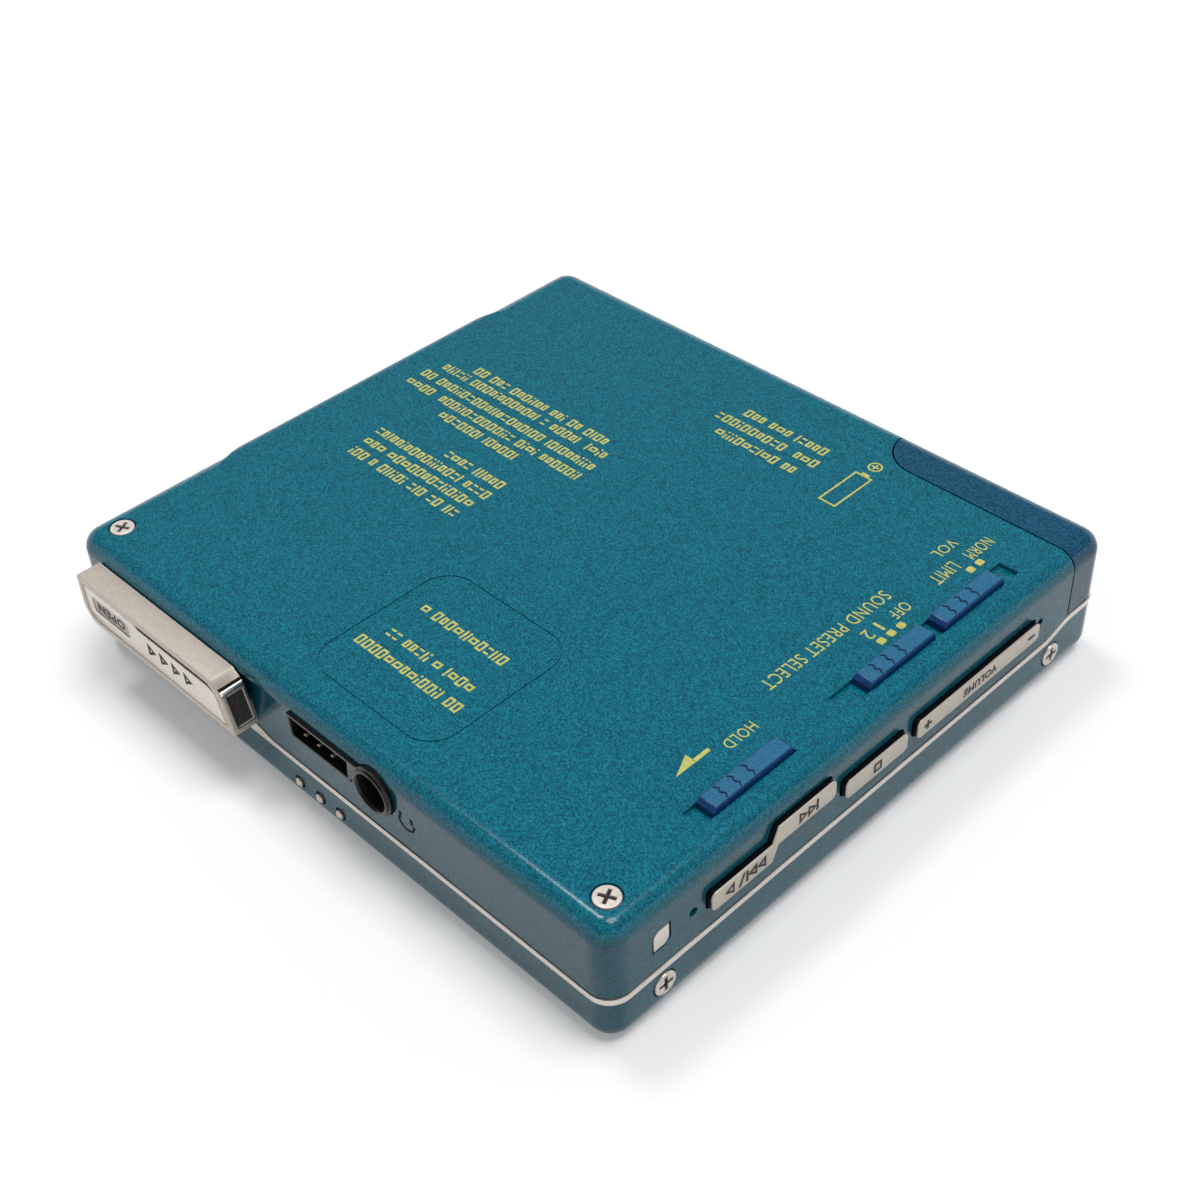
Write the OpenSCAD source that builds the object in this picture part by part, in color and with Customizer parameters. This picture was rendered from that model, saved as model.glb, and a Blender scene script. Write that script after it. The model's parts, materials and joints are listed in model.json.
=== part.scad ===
// Portable minidisc player, closed and lying on its lid.
// X runs from the open slider to the hinge, Y from the keys to the back,
// Z up from the lid's outer face to the underside. Sizes in millimetres.

/* [Case] */
// Width of the case from the open slider's wall to the hinge
case_w = 72; // [65:0.5:84]
// Depth of the case from the keys' wall to the back
case_d = 79; // [71:0.5:92]
// Room between the cartridge and the walls at its two ends, along the hinge
rail_room = 2.5; // [2.4:0.1:4]
// Room between the cartridge and the walls across the hinge
end_room = 1; // [1:0.1:2]
// Thickness of the closed case
case_h = 15; // [13.5:0.1:18]
// Plan radius of the case corners
corner_r = 2.4; // [2.2:0.1:3]
// Rounding of the edge round the underside
base_edge_r = 2; // [1.4:0.1:2.1]
// Rounding of the edge round the lid's outer face
lid_edge_r = 2.1; // [1.4:0.1:2.1]
// Wall of both case halves
wall = 1; // [0.9:0.05:1.1]
// Height of the lid's painted side wall
lid_wall_h = 5.45; // [5.3:0.05:6]
// Height of the trim strip on the lid's rim
trim_h = 0.65; // [0.5:0.05:0.8]
// How far the trim strip stands out of the walls
trim_proud = 0.1; // [0.05:0.05:0.2]
// Gap between the trim strip and the base
parting_gap = 0.2; // [0.15:0.05:0.25]
// Start of the bulge in the back wall, from the slider side
bulge_x = 22; // [15:0.5:25]
// Length of the bulge in the back wall
bulge_l = 33; // [20:1:40]
// How far the bulge in the back wall stands out
bulge_proud = 0.5; // [0.3:0.1:1.2]

/* [Hinge] */
// Distance of the hinge axis from the hinge side
hinge_inset = 1.6; // [1.5:0.05:1.8]
// Height of the hinge axis above the lid's wall
hinge_rise = 0.15; // [0.1:0.05:0.2]
// Radius of the two hinge pins
hinge_pin_r = 0.45; // [0.35:0.05:0.5]
// Rise of the parting line at the hinge ears
bend_h = 1.05; // [0.9:0.05:1.2]
// Thickness of the lid's hinge ears
ear_t = 1.1; // [1.1:0.05:1.2]

/* [Keys] */
// Height of one key
key_h = 2.2; // [1.8:0.1:2.4]
// Height of the lower key row above the base's lower edge
key_rise = 2.3; // [2.2:0.1:2.5]
// Start of the track rocker, from the slider side
track_x = 12; // [11.5:0.1:13]
// Length of the track rocker
track_l = 16.5; // [14:0.1:18]
// Length of the stop key
stop_l = 9; // [7:0.1:10]
// Space between two keys
key_spacing = 1.5; // [1.2:0.1:2]
// Distance of the volume rocker's end from the hinge side
key_margin = 12; // [10.5:0.1:14]
// How far the keys stand out of the wall
key_proud = 0.7; // [0.4:0.1:1]
// Push of the stop key
key_push = 0.4; // [0.2:0.05:0.5]

/* [Slide switches] */
// Width of the switch knobs
knob_w = 2.1; // [1.6:0.1:2.2]
// How far the knobs stand out of the underside
knob_proud = 0.8; // [0.4:0.1:1]
// Distance of the knobs' middle from the key side
knob_y = 3.95; // [3.9:0.05:4.3]
// Start of the hold knob, from the slider side
hold_x = 16; // [14:0.1:18]
// Length of the hold knob
hold_l = 10.6; // [9:0.1:11.5]
// Travel of the hold knob
hold_travel = 1.5; // [1:0.1:1.8]
// Length of the sound preset knob
sound_l = 9.9; // [8:0.1:11]
// Travel of the sound preset knob over its three positions
sound_travel = 3.1; // [2:0.1:3.4]
// Length of the volume limit knob
limit_l = 9.5; // [8:0.1:10.5]
// Travel of the volume limit knob
limit_travel = 2; // [1:0.1:2.2]
// Space between the sound and limit knobs
knob_spacing = 1.4; // [1:0.1:2]
// Distance of the limit knob's end from the hinge side
knob_margin = 13.9; // [12:0.1:15]

/* [Sockets] */
// Distance of the headphone jack from the key side
jack_y = 30; // [28:0.1:33]
// Height of the jack above the middle of the base
jack_lift = 0.45; // [0.2:0.05:0.5]
// Radius of the jack's bore
jack_bore_r = 1.8; // [1.7:0.05:1.9]
// Depth of the jack's bore
jack_depth = 12; // [10:0.5:13]
// Length of the remote socket
remote_l = 8.7; // [7:0.1:9.5]
// Height of the remote socket
remote_h = 2.2; // [2:0.1:2.4]

/* [Open slider] */
// How far the slider stands out of the wall
slider_proud = 3; // [2:0.1:3.5]
// Space from the remote socket to the slider
slider_space = 6.4; // [5.2:0.1:7]
// Distance of the slider's end from the back
slider_margin = 4.5; // [4:0.1:7]
// Travel of the slider toward the keys
slider_travel = 4; // [2:0.1:4]

/* [Battery] */
// Width of the flat cell
cell_w = 17; // [14:0.5:18.5]
// Distance of the cell from the key side
cell_inset = 6; // [5.6:0.1:6.2]
// Width of the battery door on the underside
door_w = 5.6; // [5.2:0.1:6]
// Length of the battery door on the underside
door_l = 25.3; // [23:0.1:27]

/* [Disc drive] */
// Thickness of the holder's sheet
sheet_t = 0.4; // [0.3:0.05:0.4]
// Thickness of the mechanism deck
deck_t = 0.5; // [0.4:0.05:0.6]
// Radius of the turntable
turntable_r = 6.5; // [5.5:0.1:7]
// Radius of the spindle motor
motor_r = 7; // [6:0.1:7.6]
// Radius of the spindle
spindle_r = 0.75; // [0.6:0.05:1]
// Radius of the guide rods
rod_r = 0.75; // [0.5:0.05:0.9]
// Distance between the guide rods
rod_spacing = 21; // [20:0.5:23]
// Lens distance from the disc's centre at the start of a disc
lens_start = 14.5; // [13.6:0.1:16]
// Radius of the lead screw
lead_r = 1; // [0.8:0.05:1.2]
// Circuit board thickness
board_t = 0.8; // [0.6:0.1:1]

/* [Hidden] */
$fn = 48;
fit = 0.05;
gap = 0.15;
root = 0.2;

cartridge_w = case_d - 2 * (rail_room + wall);
cartridge_d = case_w - 2 * (end_room + wall);
far = 2 * case_w;
x_left = -case_w / 2;
x_right = case_w / 2;
y_front = -case_d / 2;
y_back = case_d / 2;

trim_top = lid_wall_h + trim_h;
base_z = trim_top + parting_gap;
skin_z = case_h - wall;
deck_rise = 0.7;
deck_z = base_z + deck_rise;
deck_top = deck_z + deck_t;
deck_inset = 2.6;
deck_side = 2.1;
board_room = 0.7;
board_z = skin_z - board_room - board_t;
board_inset = 2.4;
bulge_slope = 2.5;

hinge_x = x_right - hinge_inset;
hinge_z = lid_wall_h + hinge_rise;
hinge_roll_r = hinge_inset;
roll_drop = 1.3;
turn_gap = 0.2;
cove_r = hinge_roll_r + turn_gap;
ear_r = hinge_inset - fit;
ear_y = y_back - ear_t;
ear_root = 0.3;
ear_hole_l = 0.8;
lug_y = ear_y - turn_gap;
lug_w = 1.8;
lug_r = hinge_inset - 0.3;
bend_from = 9.5;
bend_to = 5;
bend_x0 = x_right - bend_from;
bend_x1 = x_right - bend_to;
bend_steps = 8;
bend_line = [
  for (i = [0:bend_steps])
    let (t = i / bend_steps)
    [bend_x0 + t * (bend_x1 - bend_x0), bend_h * (1 - cos(180 * t)) / 2]
];

key_z = base_z + key_rise;
key_top_gap = 0.45;
track_step = case_h - base_edge_r - key_top_gap - key_z - key_h;
track_run = 0.8;
stop_x = track_x + track_l + key_spacing;
volume_x = stop_x + stop_l + key_spacing;
volume_l = case_w - key_margin - volume_x;
track_mid = track_x + track_l / 2;
stop_mid = stop_x + stop_l / 2;
volume_mid = volume_x + volume_l / 2;
key_round = 0.6;
key_back = y_front + wall + gap;
key_flange = 0.4;
key_flange_t = 0.6;
stub_r = 0.55;
stub_inset = 2.2;
key_stub = key_back + 0.8;
pivot_y = key_back + 0.45;
pivot_r = 0.4;
pivot_boss_r = 0.55;
pivot_pin_l = 0.7;
pivot_lug_w = 0.9;
pivot_lug_l = 2.4;
pivot_flange_l = 4.8;
rocker_low = key_z - key_flange;
track_high = key_z + key_h + track_step + key_flange;
volume_high = key_z + key_h + key_flange;
dome_r = 1;
dome_h = 0.5;
dome_front = key_stub + key_push + fit;
key_board_y = dome_front + dome_h;
key_board_t = 0.8;
key_board_end = 1;
key_plate_t = 0.5;
dimple_r = 0.5;
dimple_space = 1.7;
far_dimple_space = 1;
indicator_x = 5.3;
indicator_z = key_z - 0.1;
indicator_round = 0.9;
indicator_w = 2.2;
indicator_h = 2.5;
indicator_lip = 0.4;

limit_x = case_w - knob_margin - limit_l;
sound_x = limit_x - knob_spacing - sound_l;
hold_mid = hold_x + hold_l / 2;
sound_mid = sound_x + sound_l / 2;
limit_mid = limit_x + limit_l / 2;
knob_mid = y_front + knob_y;
knob_slope = 0.45;
recess_depth = 0.45;
recess_gap = 0.1;
recess_end = 0.3;
stem_l = 2.4;
stem_w = 0.8;
foot_l = 4;
foot_w = 2;
foot_t = 0.45;
foot_top = skin_z - gap;
switch_t = 1.1;
switch_l = 8.4;
switch_top = foot_top - foot_t - fit;
switch_y = pivot_y + pivot_lug_w + fit;
switch_back = knob_mid + 1.3;
shelf_t = 0.3;
shelf_z = switch_top - switch_t - shelf_t;

screw_reach = 3.6;
lid_screw_reach = 1.3;

jack_z = (base_z + case_h) / 2 + jack_lift;
jack_rim = 0.9;
jack_proud = 0.65;
jack_taper = 0.3;
jack_mouth = 0.3;
jack_mouth_l = 0.8;
bezel_rim = 0.35;
bezel_proud = 0.4;
bezel_web = 2.4;
jack_ring_r = jack_bore_r + jack_rim;
jack_side = 0.4;
jack_end = 1.2;
jack_body_l = jack_depth + jack_end;
remote_space = 3.4;
remote_drop = 0.7;
remote_slant = 0.2;
remote_y = jack_y + remote_space;
remote_end = remote_y + remote_l;
remote_z = jack_z - remote_drop;
remote_depth = 4.2;
contact_w = 0.7;
contact_h = 0.6;
chip_inset = 13;
chip_back = 12;
chip_l = 9;
small_chip_l = 8;
narrow_chip_w = 5;
chip_h = 1.1;
chips = [
  [x_left + chip_inset, y_back - chip_back, chip_l, chip_l, chip_h + root],
  [x_left + chip_inset, from_front(remote_end) + small_chip_l, chip_l - 2, small_chip_l, chip_h],
  [0, narrow_chip_w / 2, small_chip_l, narrow_chip_w, chip_h],
  [x_right - 1.5 * narrow_chip_w, y_back - chip_back, narrow_chip_w, chip_l, chip_h]
];

slider_rise = 1.2;
slider_drop = 1.7;
slider_y = remote_end + slider_space;
slider_end = case_d - slider_margin;
slider_z = base_z + slider_rise;
slider_top = case_h - slider_drop;
slider_h = slider_top - slider_z;
slider_x = x_left - slider_proud;
slider_slant = 1.7;
slider_round = 2.3;
slider_chamfer = 0.9;
frame_w = 0.7;
plate_t = 0.35;
window_l = 6.6;
window_h = 2;
neck_start = 9.5;
neck_margin = 4.5;
neck_drop = 3.7;
neck_y = slider_y + neck_start;
neck_end = slider_end - neck_margin;
neck_h = 1.8;
neck_z = slider_top - neck_drop;
latch_x = x_left + wall + gap;
latch_t = 0.6;
latch_rim = 0.6;
latch_leg_w = 3;
latch_foot_rise = 2.2;
latch_foot_z = wall + latch_foot_rise;
hook_l = 1;
hook_h = 0.8;
catch_l = 2.4;
catch_rise = 1.3;
catch_z = wall + catch_rise;
catch_h = 2.8;
flare_h = 0.8;
flare_y0 = slider_y - 1.8;
flare_y1 = slider_y + 1;
flare_y2 = slider_end - 1;
flare_y3 = slider_end + 1.5;
scoop_run = 5;
scoop_l = 3.5;
scoop_depth = 1.6;
scoop_reach = 6;
scoop_z = base_z + 0.6;
scoop_top = case_h - base_edge_r - 0.1;
pad_t = 1;
pad_l = 4.5;

spring_room = 1.8;
contact_room = 1.7;
cell_l = case_w - 2 * wall - spring_room - contact_room;
cell_t = skin_z - deck_top - 0.4;
cell_y = y_front + cell_inset;
cell_x = x_left + wall + spring_room;
cell_mid_y = cell_y + cell_w / 2;
cell_mid_z = deck_top + cell_t / 2;
cell_round = 1.5;
nub_r = 1.6;
nub_l = 0.3;
leaf_t = 0.25;
leaf_span = 5;
leaf_w = 3;
rib_t = 0.8;
rib_y = cell_y + cell_w + 0.3;
door_pivot_inset = 1.2;
door_x = x_right - door_pivot_inset;
door_arc_r = door_w - door_pivot_inset;
door_y = y_front + door_l - door_arc_r;
door_edge = x_right - door_w;
door_z = base_z + bend_h;
door_pin_r = 0.5;
door_column_r = door_pivot_inset;
door_gap = 0.2;
door_swing_r = door_pivot_inset * sqrt(2) + fit;

rail_t = sheet_t;
rail_y = cartridge_w / 2 + 0.3;
rail_top = deck_z - 0.2;
rail_lip = 2;
rail_lip_t = 0.3;
holder_x0 = x_left + lid_edge_r + fit;
holder_x1 = holder_x0 + cartridge_d - 1.8;
holder_hole_r = 15;
leaf_l = 18;
leaf_d = 7;
leaf_slit_w = 0.8;
leaf_y = 22;
leaf_inset = 8;
tab_h = 2.8;
tab_w = 3;

base_screw_at = [
  [x_left + 3.46, y_front + 3.31],
  [x_left + 3.85, y_back - 3.34]
];
lid_screw_x = [x_left + 6.6, x_right - 8.1];
lid_screw_z = 3.55;
lid_screw_seat = 0.4;
screw_head_r = 1.28;
screw_head_t = 0.6;
screw_shank_r = 0.7;
cross_l = 1.7;
cross_w = 0.4;
cross_depth = 0.35;
post_r = 1.5;
boss_r = 2.1;
boss_h = 1.4;
boss_z = skin_z - boss_h;
pilot_l = 4.2;
board_post_r = 1.4;
board_nib_r = 0.7;
board_post_at = [[x_right - 5.5, y_back - 5], [x_right - 6, rib_y + 4]];
stud_y = [36.7, 39.8, 43];
stud_r = 0.5;
stud_z = 2.9;
stud_ring = 0.25;
stud_proud = 0.2;
groove_x = 4.25;
groove_y = 26.7;
groove_l = 18.6;
groove_r = 3.4;
groove_w = 0.14;
groove_depth = 0.12;

locator_inset = 9;
locator_spacing = 58;
locator_r = 1;
locator_l = 1.2;

bearing_top = board_z - 1.5;
motor_top = bearing_top - 0.8;
motor_flange = 2;
motor_flange_t = 0.5;
turntable_z = deck_z - 1.1;
turntable_t = 0.7;
nose_h = 1;
nose_r = 2.9;
nose_tip_r = 2.2;
magnet_t = 0.3;
magnet_in_r = 3.4;
magnet_rim = 1;
disc_r = cartridge_w / 2 - 4;
disc_rim = 1.5;
sled_travel = disc_r - disc_rim - lens_start;
sled_clear = 0.6;
sled_l = 8;
sled_y = lens_start - 3.5;
sled_z = deck_top + 0.3;
sled_h = board_z - sled_clear - sled_z;
sled_side = 1.8;
lens_r = 2.2;
barrel_t = 0.8;
rod_z = sled_z + sled_h / 2;
rod_y0 = -5;
rod_y1 = lens_start + sled_travel + 4.8;
rod_block = 1.5;
sled_motor_r = (board_z - deck_top - 0.4) / 2;
sled_motor_l = 13;
lead_x = rod_spacing / 2 + 9.5;
lead_z = deck_top + 0.1 + sled_motor_r;
lead_y0 = lens_start - 4.1;
lead_y1 = rod_y1 - 0.4;
journal_r = 0.6;
journal_l = 2.8;
nut_r = 1.6;
nut_l = 3;

teal = [0.07, 0.42, 0.50];
blue = [0.15, 0.36, 0.56];
champagne = [0.80, 0.77, 0.72];
steel = [0.70, 0.71, 0.72];
black = [0.06, 0.06, 0.07];
board_green = [0.10, 0.32, 0.20];
gold = [0.85, 0.68, 0.32];

// Distances from the slider side and from the key side as places in the frame
function from_left(x) = x_left + x;
function from_front(y) = y_front + y;
function raised(z) = [for (p = bend_line) [p[0], p[1] + z]];
function reversed(list) = [for (i = [len(list) - 1:-1:0]) list[i]];

// A box between two places on each axis
module block(x, y, z) {
  translate([x[0], y[0], z[0]]) cube([x[1] - x[0], y[1] - y[0], z[1] - z[0]]);
}

// Round bars along each axis
module bar_x(y, z, r, x0, x1) {
  translate([x0, y, z]) rotate([0, 90, 0]) cylinder(r = r, h = x1 - x0);
}
module bar_y(x, z, r, y0, y1) {
  translate([x, y0, z]) rotate([-90, 0, 0]) cylinder(r = r, h = y1 - y0);
}
module bar_z(x, y, r, z0, z1) {
  translate([x, y, z0]) cylinder(r = r, h = z1 - z0);
}

// A flat outline in the XZ plane run along Y, or in the YZ plane run along X
module along_y(y0, y1) {
  translate([0, y1, 0]) rotate([90, 0, 0]) linear_extrude(y1 - y0) children();
}
module along_x(x0, x1) {
  translate([x0, 0, 0]) rotate([90, 0, 90]) linear_extrude(x1 - x0) children();
}

// The same shape at the front and at the back
module front_and_back() {
  children();
  mirror([0, 1, 0]) children();
}

// A rectangle with round corners, from its lower left corner
module rounded_rect(w, h, r) {
  translate([r, 0]) square([w - 2 * r, h]);
  translate([0, r]) square([w, h - 2 * r]);
  for (x = [r, w - r], y = [r, h - r])
    translate([x, y]) circle(r);
}

// Plan outline of the case, drawn in from its sides
module plan(inset) {
  translate([x_left + inset, y_front + inset])
    rounded_rect(case_w - 2 * inset, case_d - 2 * inset, corner_r - inset);
}

// Half section of a slab whose lower edge is rounded
module edge_section(half, h, r) {
  square([half - r, h]);
  translate([0, r]) square([half, h - r]);
  translate([half - r, r]) circle(r);
}
module full_section(l, h, r) {
  for (side = [0, 1])
    mirror([side, 0]) edge_section(l / 2, h, r);
}

// A slab with round plan corners and a rounded lower edge
module soft_slab(w, d, h, rc, re) {
  rotate([90, 0, 0]) linear_extrude(d - 2 * rc, center = true) full_section(w, h, re);
  rotate([90, 0, 90]) linear_extrude(w - 2 * rc, center = true) full_section(d, h, re);
  for (q = [0:3]) {
    sx = (q == 0 || q == 3) ? 1 : -1;
    sy = q < 2 ? 1 : -1;
    translate([sx * (w / 2 - rc), sy * (d / 2 - rc), 0]) rotate(90 * q)
      rotate_extrude(angle = 90) intersection() {
        edge_section(rc, h, re);
        square([rc, h]);
      }
  }
}
module soft_slab_inset(inset, h, re) {
  soft_slab(case_w - 2 * inset, case_d - 2 * inset, h, corner_r - inset, re - inset);
}

// Lid half
module lid_block() soft_slab_inset(0, lid_wall_h, lid_edge_r);
module lid_room() translate([0, 0, wall]) soft_slab_inset(wall, case_h, lid_edge_r);

// Ear of the lid under the raised end of the parting line
module ear_outline() {
  polygon(concat(
    raised(lid_wall_h),
    [[far, lid_wall_h + bend_h], [far, lid_wall_h - ear_root], [bend_x0, lid_wall_h - ear_root]]
  ));
}
module trim_outline() {
  polygon(concat(
    [[-far, lid_wall_h]], raised(lid_wall_h),
    [[far, lid_wall_h + bend_h], [far, trim_top + bend_h]],
    reversed(raised(trim_top)), [[-far, trim_top]]
  ));
}

// What the ear's upper corner gives way to, so that the base turns past it
module ear_corner() {
  difference() {
    block([hinge_x, far], [-far, far], [hinge_z, far]);
    bar_y(hinge_x, hinge_z, ear_r, -far, far);
  }
}

module lid_cover() color(teal) difference() {
  union() {
    difference() {
      lid_block();
      lid_room();
    }
    front_and_back() intersection() {
      linear_extrude(case_h) plan(0);
      along_y(y_front, -ear_y) ear_outline();
    }
  }
  bar_y(hinge_x, hinge_z, cove_r, -ear_y, ear_y);
  ear_corner();
  front_and_back() bar_y(hinge_x, hinge_z, hinge_pin_r, -ear_y - ear_hole_l, -ear_y + wall);
  front_and_back() for (x = lid_screw_x) {
    bar_y(x, lid_screw_z, screw_head_r + gap, y_front - wall, y_front + lid_screw_seat);
    bar_y(x, lid_screw_z, screw_shank_r, y_front, y_front + 2 * wall);
  }
  for (y = stud_y) {
    bar_x(from_front(y), stud_z, stud_r, x_left - wall, x_left + wall / 2);
    bar_x(from_front(y), stud_z, stud_r + stud_ring, x_left - wall, x_left + stud_ring);
  }
}

module flare_outline(lift) {
  polygon([
    [from_front(flare_y0), lid_wall_h], [from_front(flare_y0), trim_top + lift],
    [from_front(flare_y1), trim_top + lift + flare_h], [from_front(flare_y2), trim_top + lift + flare_h],
    [from_front(flare_y3), trim_top + lift], [from_front(flare_y3), lid_wall_h]
  ]);
}

module lid_trim() color(champagne) difference() {
  intersection() {
    difference() {
      linear_extrude(case_h) plan(-trim_proud);
      translate([0, 0, -1]) linear_extrude(case_h + 2) plan(wall);
    }
    union() {
      along_y(-far, far) trim_outline();
      along_x(x_left - wall, x_left + wall) flare_outline(0);
    }
  }
  block([hinge_x - cove_r, far], [-ear_y, ear_y], [0, case_h]);
  ear_corner();
}

// Sheet holder that takes the cartridge: a floor, two rails with lips, leaf tabs
module leaf_slit(x, y) {
  translate([x, y]) difference() {
    square([leaf_l, leaf_d]);
    translate([-1, leaf_slit_w]) square([leaf_l + 1 - leaf_slit_w, leaf_d - 2 * leaf_slit_w]);
  }
}

module disc_holder() color(steel) {
  difference() {
    union() {
      block([holder_x0, holder_x1], [-rail_y - rail_t, rail_y + rail_t], [wall, wall + sheet_t]);
      front_and_back() {
        block([holder_x0, holder_x1], [-rail_y - rail_t, -rail_y], [wall, rail_top]);
        block(
          [holder_x0, holder_x1], [-rail_y - rail_t, rail_lip - rail_y],
          [rail_top - rail_lip_t, rail_top]
        );
        for (x = lid_screw_x)
          block(
            [x - tab_w / 2, x + tab_w / 2], [y_front + wall, -rail_y],
            [lid_screw_z - tab_h / 2, lid_screw_z + tab_h / 2]
          );
      }
    }
    translate([0, 0, wall - 1]) cylinder(r = holder_hole_r, h = 3);
    front_and_back() {
      translate([0, 0, wall - 1]) linear_extrude(3) leaf_slit(holder_x0 + leaf_inset, leaf_y);
      translate([0, 0, wall - 1]) linear_extrude(3) leaf_slit(holder_x1 - leaf_inset - leaf_l, leaf_y);
      for (x = lid_screw_x)
        bar_y(x, lid_screw_z, screw_shank_r, y_front, -rail_y - rail_t);
    }
  }
}

// Striker with a pocket that the latch hook faces
module lid_catch() color(steel) difference() {
  y0 = from_front(neck_y) + latch_leg_w + hook_l + 2 * gap;
  block([x_left + wall, latch_x + latch_t], [y0, y0 + catch_l], [catch_z, catch_z + catch_h]);
  block([latch_x, far], [y0 - 1, y0 + hook_l + gap], [latch_foot_z - gap, latch_foot_z + hook_h + gap]);
}

// A cross-head screw standing on its tip, head up, its seat at the origin
module screw(shank_l) {
  difference() {
    cylinder(r = screw_head_r, h = screw_head_t);
    for (a = [0, 90])
      rotate(a) translate([-cross_l / 2, -cross_w / 2, screw_head_t - cross_depth])
        cube([cross_l, cross_w, 1]);
  }
  translate([0, 0, -shank_l]) cylinder(r = screw_shank_r, h = shank_l + root);
}

module lid_screws() color(steel)
  front_and_back() for (x = lid_screw_x)
    translate([x, y_front + lid_screw_seat, lid_screw_z]) rotate([90, 0, 0])
      screw(wall - lid_screw_seat + lid_screw_reach);

module base_screws() color(steel)
  for (p = base_screw_at)
    translate([p[0], p[1], case_h - screw_head_t]) rotate(25) screw(boss_h + screw_reach);

module side_studs() color(champagne)
  for (y = stud_y)
    translate([x_left, from_front(y), stud_z]) {
      rotate([0, -90, 0]) translate([0, 0, -wall / 2]) cylinder(r = stud_r, h = wall / 2 + stud_proud);
      intersection() {
        translate([stud_proud, 0, 0]) sphere(r = norm([stud_r, 2 * stud_proud]));
        block([-2 * stud_r - stud_proud, -stud_proud], [-stud_r, stud_r], [-stud_r, stud_r]);
      }
    }

module hinge_pins() color(steel)
  front_and_back() bar_y(hinge_x, hinge_z, hinge_pin_r, -ear_y - ear_hole_l, lug_w - lug_y);

// Base half
module base_block() translate([0, 0, case_h]) mirror([0, 0, 1])
  soft_slab_inset(0, case_h - base_z, base_edge_r);
module base_room() translate([0, 0, skin_z]) mirror([0, 0, 1])
  soft_slab_inset(wall, case_h, base_edge_r);

module back_bulge() {
  x0 = from_left(bulge_x);
  x1 = x0 + bulge_l;
  ramp = bulge_slope * bulge_proud;
  lead = bulge_slope * base_edge_r;
  intersection() {
    translate([0, bulge_proud, 0]) base_block();
    linear_extrude(case_h) polygon([
      [x0 - lead, y_back - base_edge_r], [x0 + ramp, y_back + bulge_proud],
      [x1 - ramp, y_back + bulge_proud], [x1 + lead, y_back - base_edge_r]
    ]);
  }
}

// Key outlines in the XZ plane; the track rocker's two halves lie one step apart
module track_outline(grow) {
  run = track_run / 2;
  end_l = 4;
  shift = grow * tan(atan2(track_step, track_run) / 2);
  mid = from_left(track_mid);
  x0 = from_left(track_x) - grow;
  x1 = from_left(track_x + track_l) + grow;
  z0 = key_z - grow;
  z1 = key_z + key_h + grow;
  translate([x0, z0]) rounded_rect(end_l, z1 - z0, key_round);
  translate([x1 - end_l, z0 + track_step]) rounded_rect(end_l, z1 - z0, key_round);
  polygon([
    [x0 + 1, z0], [mid - run + shift, z0], [mid + run + shift, z0 + track_step], [x1 - 1, z0 + track_step],
    [x1 - 1, z1 + track_step], [mid + run - shift, z1 + track_step], [mid - run - shift, z1], [x0 + 1, z1]
  ]);
}
module key_outline(x, l, grow) {
  translate([from_left(x) - grow, key_z - grow]) rounded_rect(l + 2 * grow, key_h + 2 * grow, key_round);
}
module lens_outline(grow) {
  w = indicator_w + 2 * grow;
  h = indicator_h + 2 * grow;
  translate([from_left(indicator_x) - grow, indicator_z - grow]) {
    rounded_rect(w, h, indicator_round);
    square([w / 2, h / 2]);
    translate([w / 2, h / 2]) square([w / 2, h / 2]);
  }
}

// Socket outline in the YZ plane
module remote_outline(inset) {
  y0 = from_front(remote_y) + inset;
  y1 = from_front(remote_y + remote_l) - inset;
  z0 = remote_z + inset;
  z1 = remote_z + remote_h - inset;
  polygon([[y0 + remote_slant, z0], [y1 - remote_slant, z0], [y1, z1], [y0, z1]]);
}
module socket_outline(grow) {
  remote_outline(-bezel_rim - grow);
  translate([from_front(jack_y), jack_z]) circle(jack_ring_r + grow);
  translate([from_front(jack_y), remote_z + remote_h + bezel_rim - bezel_web - grow])
    square([remote_y - jack_y, bezel_web + 2 * grow]);
}

// Battery door's outline on the underside: straight along the case, round at its far end
module door_outline(grow) {
  translate([door_edge - grow, y_front - wall]) square([door_w + grow + wall, door_y - y_front + wall]);
}
module door_tip_outline(grow) {
  r = door_arc_r + grow;
  intersection() {
    translate([door_x, door_y]) circle(r);
    translate([door_x - r, door_y - fit]) square([r, r + 1]);
  }
  translate([door_x - fit, door_y - fit]) square([door_pivot_inset + wall, r + fit]);
}

// A shallow groove in the underside, round a panel
module panel_groove() {
  inner_l = groove_l - 2 * groove_w;
  translate([from_left(groove_x), from_front(groove_y), case_h - groove_depth])
    linear_extrude(1) difference() {
      rounded_rect(groove_l, groove_l, groove_r);
      translate([groove_w, groove_w]) rounded_rect(inner_l, inner_l, groove_r - groove_w);
    }
}

// Recess of a switch knob, and the slot that its stem runs in
module switch_recess(x0, x1) {
  block(
    [from_left(x0), from_left(x1)],
    [knob_mid - knob_w / 2 - recess_gap, knob_mid + knob_w / 2 + recess_gap],
    [case_h - recess_depth, far]
  );
}
module stem_slot(mid, low, high) {
  block(
    [from_left(mid) - stem_l / 2 - low - fit, from_left(mid) + stem_l / 2 + high + fit],
    [knob_mid - stem_w / 2 - fit, knob_mid + stem_w / 2 + fit],
    [skin_z - wall, far]
  );
}

// Finger scoop beside the open slider: a ramp into the wall
module slider_scoop() {
  rise = scoop_top - scoop_z;
  intersection() {
    translate([x_left, from_front(slider_y + 1), scoop_z]) rotate([atan2(scoop_run, rise), 0, 0])
      translate([0, 0, -2]) linear_extrude(norm([scoop_run, rise]) + 4)
        polygon([[-1, 0], [0, 0], [scoop_depth, scoop_reach], [-1, scoop_reach]]);
    block([-far, far], [-far, from_front(slider_y + scoop_l)], [scoop_z, scoop_top]);
  }
}

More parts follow.
